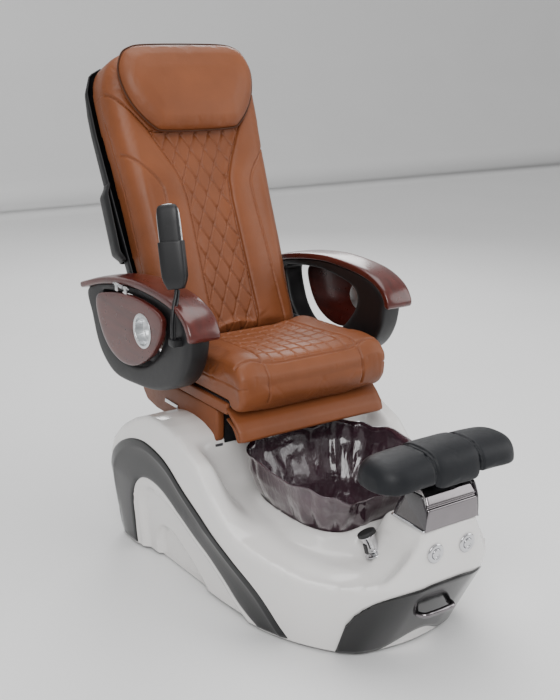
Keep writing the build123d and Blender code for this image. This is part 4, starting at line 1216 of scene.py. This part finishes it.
class SPACHAIR_OT_backrest(ChairOperator, bpy.types.Operator):
    """Make the backrest's quilted middle, bolsters, yoke and sides, the pillow and the rear shells"""

    bl_idname = "spachair.backrest"
    bl_label = "Backrest"

    def execute(self, context):
        look = context.scene.spa_chair
        half_line = [(half, up) for up, half in BACK_HALF]
        outline = evenly(
            [Vector(p) for p in rounded_profile([(0, -58), *half_line, (0, 864)], 26)], 150
        )
        ring = outline + [Vector((-p.x, p.y)) for p in reversed(outline[1:-1])]
        count = len(ring)
        steps = []
        for t in (0.0, 0.35, 0.7, 1.0):
            steps.append((0.0, 0.0, mix(-124, -44, t)))
        for k in range(1, 7):
            a = math.pi / 2 * k / 6
            steps.append((44 * (1 - math.cos(a)), 0.0, -44 + 44 * math.sin(a)))
        for k in range(1, 21):
            steps.append((44.0, k / 20, 0.0))
        back = [(40.0, k / 8, -124.0) for k in range(8, 0, -1)]
        steps = back + [(0.0, 0.0, -124.0)] + steps[1:]
        rows = len(steps) - 1

        def front_at(x, up):
            """The cushion's form before its seams: bolsters either side of a lower, quilted middle."""
            edge = read([(-58, 82), (300, 78), (400, 80), (470, 95), (600, 162)], up)
            hollow = smooth((edge + 14 - abs(x)) / 30) * smooth((612 - up) / 26)
            outer = read([(-58, 180), (200, 168), (380, 158), (440, 168), (500, 215), (566, 285)], up)
            ridge = bell(abs(x) - (edge + outer) / 2, 46) * smooth((570 - up) / 120)
            return -13 * hollow + 7 * ridge - 7 * smooth((abs(x) - outer) / 60) * smooth((560 - up) / 60)

        def place(u, v):
            p = ring[round(u * count) % count]
            inset, k, front = steps[round(v * rows)]
            spine = Vector((0, min(780, max(30, p.y))))
            towards = spine - p
            length = max(towards.length, 1)
            q = p + towards * (inset / length)
            q = q.lerp(spine, k)
            if front >= 0:
                front += front_at(q.x, q.y) * smooth(k * 4 + 0.2)
            return on_back(q.x, q.y, front)

        cushion = shaped("back_core", count, rows, place)
        puffed(cushion, 0.0058, 0.005)

        quilt_edge = flowing(QUILT_EDGE)
        yoke_edge = flowing(YOKE_EDGE)
        bolster_seam = flowing(BOLSTER_SEAM)
        edge_near, yoke_near, bolster_near = nearness(quilt_edge), nearness(yoke_edge), nearness(bolster_seam)
        edge_table = [(p.y, p.x) for p in quilt_edge]
        width, height = look.quilt_width * 1000, look.quilt_height * 1000
        depth = look.seam_depth * 1000

        def seams(x, up, front, normal):
            if front < -40:
                side = bell(front + 70, 2.2) * smooth((660 - up) / 20)
                return depth * 0.6 * side
            ax = abs(x)
            push = depth * 1.1 * bell(edge_near(ax, up), 3.2)
            push = max(push, depth * bell(yoke_near(ax, up), 3.0))
            push = max(push, depth * bell(bolster_near(ax, up), 3.0))
            if ax < 162:
                push = max(push, depth * bell(up - 600, 3.2))
            inside = read(edge_table, up) - ax
            if up < 597 and inside > 2:
                a, b = x / width + up / height, x / width - up / height
                fa, fb = abs(a - round(a)), abs(b - round(b))
                scale = width * height / math.hypot(width, height)
                near = min(fa, fb) * scale
                dip = 4.2 * bell(near, 3.0)
                pull = 3.0 * bell(math.hypot(fa * scale, fb * scale), 9)
                swell = -3.6 * min(1.0, 2.4 * min(fa, fb)) ** 0.7
                push = max(push, (dip + pull + swell) * smooth(inside / 10))
            else:
                near_seam = min(edge_near(ax, up), bolster_near(ax, up))
                wrinkle = noise.noise(Vector((ax / 60, up / 16, 2.0)))
                push += 1.1 * max(0.0, wrinkle) * bell(near_seam - 9, 14)
            return push

        pressed(cushion, seams, back=True)

        yoke_table = [(p.x, p.y) for p in yoke_edge]

        def region(x, up, front):
            ax = abs(x)
            above = up > (600 if ax < 162 else read(yoke_table, ax))
            if above:
                return 2
            if front < -70:
                return 3
            return 0 if ax < read(edge_table, up) else 1

        names = [
            ("back_quilt", "back_panel"), ("back_bolster_covers", "back_bolsters"),
            ("back_yoke_cover", "back_yoke"), ("back_side_covers", "back_sides"),
        ]
        for number, (name, node) in enumerate(names):
            bm = bmesh.new()
            bm.from_mesh(cushion.data)
            gone = []
            for f in bm.faces:
                x, up, front = back_drawn(f.calc_center_median())
                if region(x, up, front) != number or front < -121:
                    gone.append(f)
            bmesh.ops.delete(bm, geom=gone, context="FACES")
            mesh = bpy.data.meshes.new(name)
            bm.to_mesh(mesh)
            bm.free()
            mesh.shade_smooth()
            piece = bpy.data.objects.new(name, mesh)
            bpy.context.scene.collection.objects.link(piece)
            wall(piece, 0.002)
            fit(piece, "backrest", "caramel_leather", "caramel_leather", node)
        bpy.data.objects.remove(cushion)

        pillow_ring = evenly(flowing(PILLOW_OUTLINE, True, 8), 200, True)
        layers = [(150.0, 1.0, 1.0), (0, 0.6, 1.0), (0, 0.1, 1.0), (-3, 0.0, 3.0), (-4, 0.0, 12.0), (-2, 0.0, 22.0),
                  (2, 0.0, 30.0), (8, 0.0, 37.0), (16, 0.0, 43.0), (26, 0.0, 48.0), (38, 0.0, 52.0), (52, 0.12, 55.0),
                  (52, 0.35, 57.5), (52, 0.65, 58.5), (52, 1.0, 59.0)]
        layer_rows = len(layers) - 1

        def pillow_place(u, v):
            p = pillow_ring[round(u * 200) % 200]
            inset, k, front = layers[round(v * layer_rows)]
            spine = Vector((max(-110, min(110, p.x)), 728))
            towards = spine - p
            length = max(towards.length, 1)
            q = p if inset == 150.0 else p + towards * (min(inset, length * 0.6) / length)
            q = q.lerp(spine, k)
            return on_back(q.x, q.y, front)

        pillow = shaped("head_pillow_cover", 200, layer_rows, pillow_place)
        puffed(pillow, 0.005, 0.004)
        piping_line = nearness([(p.x, p.y) for p in pillow_ring])
        pressed(
            pillow,
            lambda x, up, front, n: 1.3 * bell(front - 24, 2.2)
            + 1.4 * max(0.0, noise.noise(Vector((x / 22, up / 45, 5.0)))) * bell(piping_line(x, up) - 22, 18),
            back=True,
        )
        fit(pillow, "backrest", "caramel_leather", "caramel_leather", "head_pillow")
        loop = [on_back(p.x * 1.008, 728 + (p.y - 728) * 1.008, 23.5) for p in pillow_ring[:-1]]
        fit(tube("pillow_piping", loop, 0.0024, 8, True), "backrest", "seam_thread", "caramel_leather")

        shell_half = [(-58, 232), (40, 243), (360, 262), (640, 277), (770, 277), (826, 256), (846, 214)]
        shell_rear = [(-40, 150), (-4, 190), (60, 199), (500, 202), (706, 194), (782, 164), (846, 132)]

        def shell_place(u, v):
            up = mix(-40, 846, v)
            half, rear = read(shell_half, up), read(shell_rear, up)
            angle = math.pi * u
            c, s = math.cos(angle), math.sin(angle)
            x = half * math.copysign(abs(c) ** (2 / 5.0), c)
            back = 127 + (rear - 127) * s ** (2 / 5.0)
            return on_back(x, up, -back)

        shell = shaped("rear_shell", 96, 110, shell_place)
        wall(shell, 0.004)
        fit(shell, "backrest", "satin_black", SLOT_OF["back_shell"], "back_shell")

        low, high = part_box("motor_cover")
        half = high.x * 1000

        def motor_place(u, v):
            up = mix(235, 480, v)
            swell = smooth(min(v, 1 - v) * 7)
            angle = math.pi * u
            c, s = math.cos(angle), math.sin(angle)
            x = mix(half - 14, half - 1, swell) * math.copysign(abs(c) ** (2 / 6.0), c)
            back = 118 + (mix(198, 223, swell) - 118) * s ** (2 / 6.0)
            return on_back(x, up, -back)

        motor = shaped("motor_housing", 80, 40, motor_place)
        wall(motor, 0.003)
        fit(motor, "backrest", "satin_black", SLOT_OF["motor_cover"], "motor_cover")
        return {"FINISHED"}


class SPACHAIR_OT_seat(ChairOperator, bpy.types.Operator):
    """Make the seat cushion, its apron and sides, and the plinth's leather covers"""

    bl_idname = "spachair.seat"
    bl_label = "Seat"

    def execute(self, context):
        loop = evenly(
            [Vector(p) for p in rounded_profile(
                [(212, 600), (212, 561), (-120, 561), (-124, 540), (-160, 538), (-182, 572), (-184, 640), (-150, 676),
                 (-90, 684), (190, 668), (212, 660), (212, 600)], 14)], 130)
        middle = Vector((20, 612))

        def place(u, v):
            s = mix(-1, 1, u)
            x = 259 * s
            p = loop[round(v * 130)]
            end = max(0.0, (abs(x) - 226) / 33)
            shrink = 1 - 0.16 * (1 - math.sqrt(max(0.0, 1 - end * end)))
            q = middle + Vector(((p.x - middle.x) * (1 - (1 - shrink) * 0.35), (p.y - middle.y) * shrink))
            if q.y > 640:
                q.y += 6 * bell(abs(x) - 208, 34) - 5 * smooth((150 - abs(x)) / 60) * smooth((q.x + 170) / 60)
            return at(x, q.x, q.y)

        bm = bmesh.new()
        surface(bm, 60, 130, place)
        bmesh.ops.holes_fill(bm, edges=[e for e in bm.edges if e.is_boundary], sides=0)
        cushion = to_object(bm, "seat_cushion_cover")
        puffed(cushion, 0.0055, 0.005)
        size = 43.0

        def seams(x, y, z, n):
            ax = abs(x)
            if z < 565 or y > 205:
                return 0.0
            line = 165 - 12 * smooth((y + 150) / 200)
            on_top = n.z > 0.35
            push = 5.5 * bell(ax - line, 3.2) * (1.0 if on_top or y < -140 else 0.0)
            if on_top or y < -120:
                push = max(push, 5.5 * bell(y + 148 - 10 * smooth((ax - 120) / 100), 3.4) * on_top)
            if on_top and ax < line - 3 and y > -142:
                fx, fy = x / size, (y + 142) / size
                dx, dy = abs(fx - round(fx)) * size, abs(fy - round(fy)) * size
                puff = 3.5 * bell(min(dx, dy), 3.2) + 2.4 * bell(math.hypot(dx, dy), 7)
                push = max(push, puff - 2.2 * min(1.0, min(dx, dy) / 15) ** 0.7)
            if not on_top and y < -120 and z > 575:
                gather = max(0.0, noise.noise(Vector((x / 12, z / 80, 1.0))))
                push += 1.6 * gather * bell(z - 655, 24)
                push += 2.2 * gather * bell(ax - 236, 22)
            if ax > 240 and not on_top:
                push += 3.0 * bell(z - 618, 2.6)
            return push

        pressed(cushion, seams)
        fit(cushion, "seat", "caramel_leather", "caramel_leather", "seat_cushion")

        section = rounded_profile(
            [(-104, 546), (-122, 531), (-150, 514), (-170, 493), (-179, 470), (-176, 463), (-166, 463), (-156, 482),
             (-139, 497), (-104, 513)], 6.0)
        rows = len(section) - 1

        def apron_place(u, v):
            s = mix(-1, 1, u)
            p = section[round(v * rows)]
            droop = 5 * (1 - s ** 4) * smooth((-p.x - 130) / 40)
            end = smooth((abs(s) - 0.93) / 0.07)
            x = 257 * s
            return at(x, p.x + 7 * end * smooth((-p.x - 120) / 40), max(459, p.y - 0.0 + droop * 0.3))

        apron = shaped("apron_cover", 64, rows, apron_place)
        wall(apron, 0.004)
        fit(apron, "seat", "caramel_leather", "caramel_leather", "apron")
        sides = [block("side", (s * 250 - 7, -103, 525), (s * 250 + 7, 201, 558), 5) for s in (1, -1)]
        fit(joined("seat_side_covers", *sides), "seat", "caramel_leather", "caramel_leather", "seat_sides")

        outline = rounded_profile(
            [(100, 419), (302, 419), (362, 431), (388, 457), (394, 500), (392, 517), (380, 519), (-30, 523),
             (-44, 515), (-44, 430), (-34, 419), (100, 419)], 9.0)
        covers = []
        for s in (1, -1):
            near, far = (222.5, 251) if s > 0 else (-251, -222.5)
            covers.append(slab("cover", outline[:-1], near, far, 7))
        fit(joined("plinth_side_covers", *covers), "tub", "caramel_leather", "caramel_leather", "plinth_sides")
        pulls = [block("pull", (s * 252.5 - 2.5, 168, 458), (s * 252.5 + 2.5, 242, 470), 1.8) for s in (1, -1)]
        fit(joined("plinth_pull_plates", *pulls), "tub", "chrome", "chrome", "plinth_pulls")
        return {"FINISHED"}


PAD_TOP = [(529, 789), (374, 837), (218, 863), (102, 866), (-16, 855), (-94, 824), (-128, 786), (-134, 758)]
PAD_UNDER = [(-108, 758), (-104, 778), (-78, 806), (-14, 829), (102, 840), (218, 838), (374, 812), (521, 768)]
SHELL_OUTER = [
    (505, 771), (479, 698), (444, 620), (396, 571), (322, 541), (207, 545), (98, 559), (4, 590), (-52, 629),
    (-88, 690), (-100, 756),
]
SHELL_WINDOW = [
    (60, 790), (34, 740), (70, 680), (130, 628), (210, 604), (300, 612), (360, 660), (392, 730), (400, 782),
    (340, 800), (200, 812),
]
TRAY_OUTLINE = [
    (392, 772), (313, 803), (180, 822), (62, 818), (4, 800), (-1, 770), (18, 726), (66, 672), (150, 624),
    (240, 612), (322, 640), (374, 698),
]


class SPACHAIR_OT_arms(ChairOperator, bpy.types.Operator):
    """Make the armrests, the folding trays and the remote with its holder"""

    bl_idname = "spachair.arms"
    bl_label = "Arms and trays"

    def execute(self, context):
        stations = 110
        top = evenly(flowing(PAD_TOP), stations)
        under = evenly(flowing(list(reversed(PAD_UNDER))), stations)

        def pad_place(u, v):
            i = round(v * stations)
            a, b = top[i], under[i]
            middle, reach = (a + b) / 2, (a - b) / 2
            x, rise = squared(2 * math.pi * u, 48.5, 1.0, 5.0)
            crown = 1 - 0.10 * (x / 48.5) ** 2 if rise > 0 else 1
            away = min(i, stations - i) / stations * 680
            end = min(1.0, away / 9)
            round_off = 0.55 + 0.45 * math.sqrt(max(0.0, 1 - (1 - end) ** 2))
            p = middle + reach * (rise * crown * round_off)
            return at(342 + x * (0.9 + 0.1 * round_off), p.x, p.y)

        bm = bmesh.new()
        surface(bm, 56, stations, pad_place)
        bmesh.ops.holes_fill(bm, edges=[e for e in bm.edges if e.is_boundary], sides=0)
        pad = to_object(bm, "arm_cap_left")
        right = mirror_copy(pad, "arm_cap_right")
        fit(pad, "arm_left", "cherry_wood", "cherry_wood", "arm_pad_left")
        fit(right, "arm_right", "cherry_wood", "cherry_wood", "arm_pad_right")

        outer = list(reversed(SHELL_OUTER)) + [(y, z + 2) for y, z in reversed(PAD_UNDER[1:-1])]
        left = ring_plate("arm_side_left", outer[::-1], SHELL_WINDOW, (215, 700), 301, 379, 5.5)
        right = mirror_copy(left, "arm_side_right")
        fit(left, "arm_left", "caramel_leather" if SLOT_OF["arm_shell_left"] == "caramel_leather" else SLOT_OF["arm_shell_left"],
            SLOT_OF["arm_shell_left"], "arm_shell_left")
        fit(right, "arm_right", SLOT_OF["arm_shell_right"], SLOT_OF["arm_shell_right"], "arm_shell_right")

        cup = [(105 + 43 * math.cos(a * math.pi / 12), 738 + 43 * math.sin(a * math.pi / 12)) for a in range(24)]
        board = ring_plate("tray_left_board", TRAY_OUTLINE, cup, (105, 738), 386, 404, 7.0, 260)
        right = mirror_copy(board, "tray_right_board")
        fit(board, "tray_left", SLOT_OF["tray_board_left"], SLOT_OF["tray_board_left"], "tray_board_left")
        fit(right, "tray_right", SLOT_OF["tray_board_right"], SLOT_OF["tray_board_right"], "tray_board_right")

        well = revolved(
            "well", at(404, 105, 738), (1, 0, 0),
            rounded_profile([(0, -28), (38, -28), (40.4, -26), (40.6, 1.2), (43, 3), (49.5, 2), (50, 0.2), (42.4, 0),
                             (42.4, -30), (0, -30)], 1.2, 3), 72)
        barrels = [
            revolved("barrel", at(397, y - 8, 836), (0, 1, 0),
                     rounded_profile([(2.2, 0), (4.8, 0), (5, 0.5), (5, 15.5), (4.8, 16), (2.2, 16), (2.2, 0)], 0.3, 2), 28)
            for y in (212, 266)
        ]
        leaves = [block("leaf", (394.5, y - 8, 817), (399.5, y + 8, 832), 1) for y in (212, 266)]
        left = joined("tray_left_cup", well, *barrels, *leaves)
        right = mirror_copy(left, "tray_right_cup")
        fit(left, "tray_left", "cup_aluminium", SLOT_OF["tray_fittings_left"], "tray_fittings_left")
        fit(right, "tray_right", "cup_aluminium", SLOT_OF["tray_fittings_right"], "tray_fittings_right")

        along = Vector((0, math.sin(math.radians(13)), math.cos(math.radians(13))))
        side = Vector((math.cos(math.radians(45)), -math.sin(math.radians(45)), 0))
        side = (side - along * side.dot(along)).normalized()
        depth = along.cross(side)
        origin = at(-372, -30, 884)

        def sleeve(name, layers, power, turns=64):
            """A rounded sleeve from layers of (distance along, width, depth)."""
            rows = len(layers) - 1

            def place(u, v):
                t, w, d = layers[round(v * rows)]
                a, b = squared(2 * math.pi * u, w / 2, d / 2, power)
                wave = 2.5 * math.cos(4 * math.pi * u) if 2 < t < 20 else 0
                return origin + (along * (t + wave) + side * a + depth * b) / 1000

            bm = bmesh.new()
            surface(bm, turns, rows, place)
            bmesh.ops.holes_fill(bm, edges=[e for e in bm.edges if e.is_boundary], sides=0)
            return to_object(bm, name)

        holder = sleeve("remote_sleeve", [
            (0, 40, 22), (1, 46, 27), (8, 53, 31), (20, 62, 36), (34, 69, 39.5), (60, 70, 40), (124, 70, 40),
            (127, 69, 39), (128, 66.5, 36.5), (127, 63, 31), (120, 62, 30), (60, 62, 30), (38, 60, 28)], 4.5)
        fit(holder, "arm_right", SLOT_OF["remote_holder"], SLOT_OF["remote_holder"], "remote_holder")
        remote = sleeve("remote_handset", [
            (39, 50, 18), (41, 57, 25), (46, 60, 28), (120, 60, 28), (180, 60, 27), (204, 59, 25), (215, 56, 21),
            (222, 49, 15), (225, 38, 8)], 4.0)
        fit(remote, "remote", SLOT_OF["remote_body"], SLOT_OF["remote_body"], "remote_body")
        rim = [origin + (along * t + side * a + depth * b) / 1000 for t, a, b in
               [(60, -30.3, 0), (120, -30.3, 0), (180, -30.2, 0), (206, -28.6, 0), (217, -24, 0), (223.5, -14, 0),
                (225, 0, 0), (223.5, 14, 0), (217, 24, 0), (206, 28.6, 0), (180, 30.2, 0), (120, 30.3, 0), (60, 30.3, 0)]]
        band = tube("remote_rim", evenly(flowing(rim), 90), 0.0021, 10)
        fit(band, "remote", "cup_aluminium", SLOT_OF["remote_body"])

        curve = flowing([at(-397, -52, 752), at(-398, -51, 778), at(-396, -49, 806), at(-388, -42, 838),
                         at(-377, -35, 866), at(-372, -30, 886)])
        stem = tube("stem", evenly(curve, 60), 0.0055, 16)
        strand = tube("strand", evenly([p + Vector((0.003, -0.0085, -0.002)) for p in curve], 60), 0.0022, 10)
        clamp = block("clamp", (-406, -71, 735), (-371, -42, 754), 3)
        fit(joined("remote_stem_cover", stem, strand, clamp), "arm_right", SLOT_OF["remote_stem"],
            SLOT_OF["remote_stem"], "remote_stem")
        return {"FINISHED"}


class SPACHAIR_OT_mechanics(ChairOperator, bpy.types.Operator):
    """Give every piece that is still shown as it was machined its finish"""

    bl_idname = "spachair.mechanics"
    bl_label = "Mechanical parts"

    def execute(self, context):
        for name, node in frame["nodes"].items():
            if node.data.materials and node.data.materials[0] in MADE.values():
                continue
            node.data.materials.clear()
            node.data.materials.append(finish(SLOT_OF[name]))
        return {"FINISHED"}


class SPACHAIR_OT_stage(ChairOperator, bpy.types.Operator):
    """Set the floor, lights and camera"""

    bl_idname = "spachair.stage"
    bl_label = "Stage"

    def execute(self, context):
        scene = context.scene
        profile = [(-9.0, 0.0), (4.5, 0.0), (5.6, 0.12), (6.4, 0.6), (6.8, 1.5), (6.9, 7.0)]
        line = evenly(flowing([Vector(p) for p in profile]), 60)
        bm = bmesh.new()
        surface(bm, 8, 60, lambda u, v: Vector((mix(-12, 12, u), line[round(v * 60)].x, line[round(v * 60)].y)))
        floor = to_object(bm, "studio_sweep")
        f = Finish("studio_white")
        f.link(f.ramp(f.cloud(1.5), [(0.3, (0.86, 0.86, 0.86)), (0.7, (0.88, 0.88, 0.88))]), "Base Color")
        f.set(Roughness=0.6)
        floor.data.materials.append(f.material)

        world = bpy.data.worlds.new("studio")
        world.use_nodes = True
        world.node_tree.nodes["Background"].inputs["Color"].default_value = (1, 1, 1, 1)
        world.node_tree.nodes["Background"].inputs["Strength"].default_value = 0.55
        scene.world = world
        for name, place, aim, size, power in (
            ("key", (-2.6, -3.0, 3.4), (0, -0.1, 0.6), 2.4, 130),
            ("fill", (3.4, -2.2, 2.2), (0, 0, 0.6), 2.8, 60),
            ("top", (0.2, 0.4, 4.2), (0, 0, 0), 3.2, 90),
            ("edge", (2.2, 3.4, 2.6), (0, 0.1, 0.9), 1.8, 60),
        ):
            lamp = bpy.data.lights.new(name, "AREA")
            lamp.shape, lamp.size, lamp.energy = "SQUARE", size, power
            light = bpy.data.objects.new(name, lamp)
            light.location = place
            light.rotation_euler = (Vector(aim) - Vector(place)).to_track_quat("-Z", "Y").to_euler()
            scene.collection.objects.link(light)

        azimuth, pitch, roll = (math.radians(a) for a in (-35.99, 17.3, 1.51))
        forward = Vector((
            -math.sin(azimuth) * math.cos(pitch), math.cos(azimuth) * math.cos(pitch), -math.sin(pitch)
        ))
        right = forward.cross(Vector((0, 0, 1))).normalized()
        up = right.cross(forward)
        across = right * math.cos(roll) + up * math.sin(roll)
        upright = up * math.cos(roll) - right * math.sin(roll)
        lens = bpy.data.cameras.new("view")
        lens.sensor_width, lens.lens, lens.clip_end = 36, 1098.95 / 700 * 36, 100
        camera = bpy.data.objects.new("view", lens)
        camera.matrix_world = Matrix((
            (across.x, upright.x, -forward.x, -1.81688),
            (across.y, upright.y, -forward.y, -2.49608 + DRAWING_Y / 1000),
            (across.z, upright.z, -forward.z, 1.60754),
            (0, 0, 0, 1),
        ))
        scene.collection.objects.link(camera)
        scene.camera = camera
        return {"FINISHED"}


OPERATORS = (
    SPACHAIR_OT_tub, SPACHAIR_OT_trims, SPACHAIR_OT_basin, SPACHAIR_OT_fittings, SPACHAIR_OT_footrest,
    SPACHAIR_OT_seat, SPACHAIR_OT_backrest, SPACHAIR_OT_arms, SPACHAIR_OT_mechanics, SPACHAIR_OT_stage,
)


class SPACHAIR_PT_panel(bpy.types.Panel):
    """The chair's settings and its operators"""

    bl_idname = "SPACHAIR_PT_panel"
    bl_label = "Spa chair"
    bl_space_type = "VIEW_3D"
    bl_region_type = "UI"
    bl_category = "Spa chair"

    def draw(self, context):
        look = context.scene.spa_chair
        for name in SpaChairLook.__annotations__:
            self.layout.prop(look, name)
        for operator in OPERATORS:
            self.layout.operator(operator.bl_idname)


CLASSES = (SpaChairLook, *OPERATORS, SPACHAIR_PT_panel)


def register():
    for cls in CLASSES:
        bpy.utils.register_class(cls)
    bpy.types.Scene.spa_chair = bpy.props.PointerProperty(type=SpaChairLook)


def unregister():
    del bpy.types.Scene.spa_chair
    for cls in reversed(CLASSES):
        bpy.utils.unregister_class(cls)


def main():
    """Builds the chair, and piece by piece."""
    register()
    for operator in OPERATORS:
        group, name = operator.bl_idname.split(".")
        getattr(getattr(bpy.ops, group), name)()


if __name__ == "__main__":
    main()
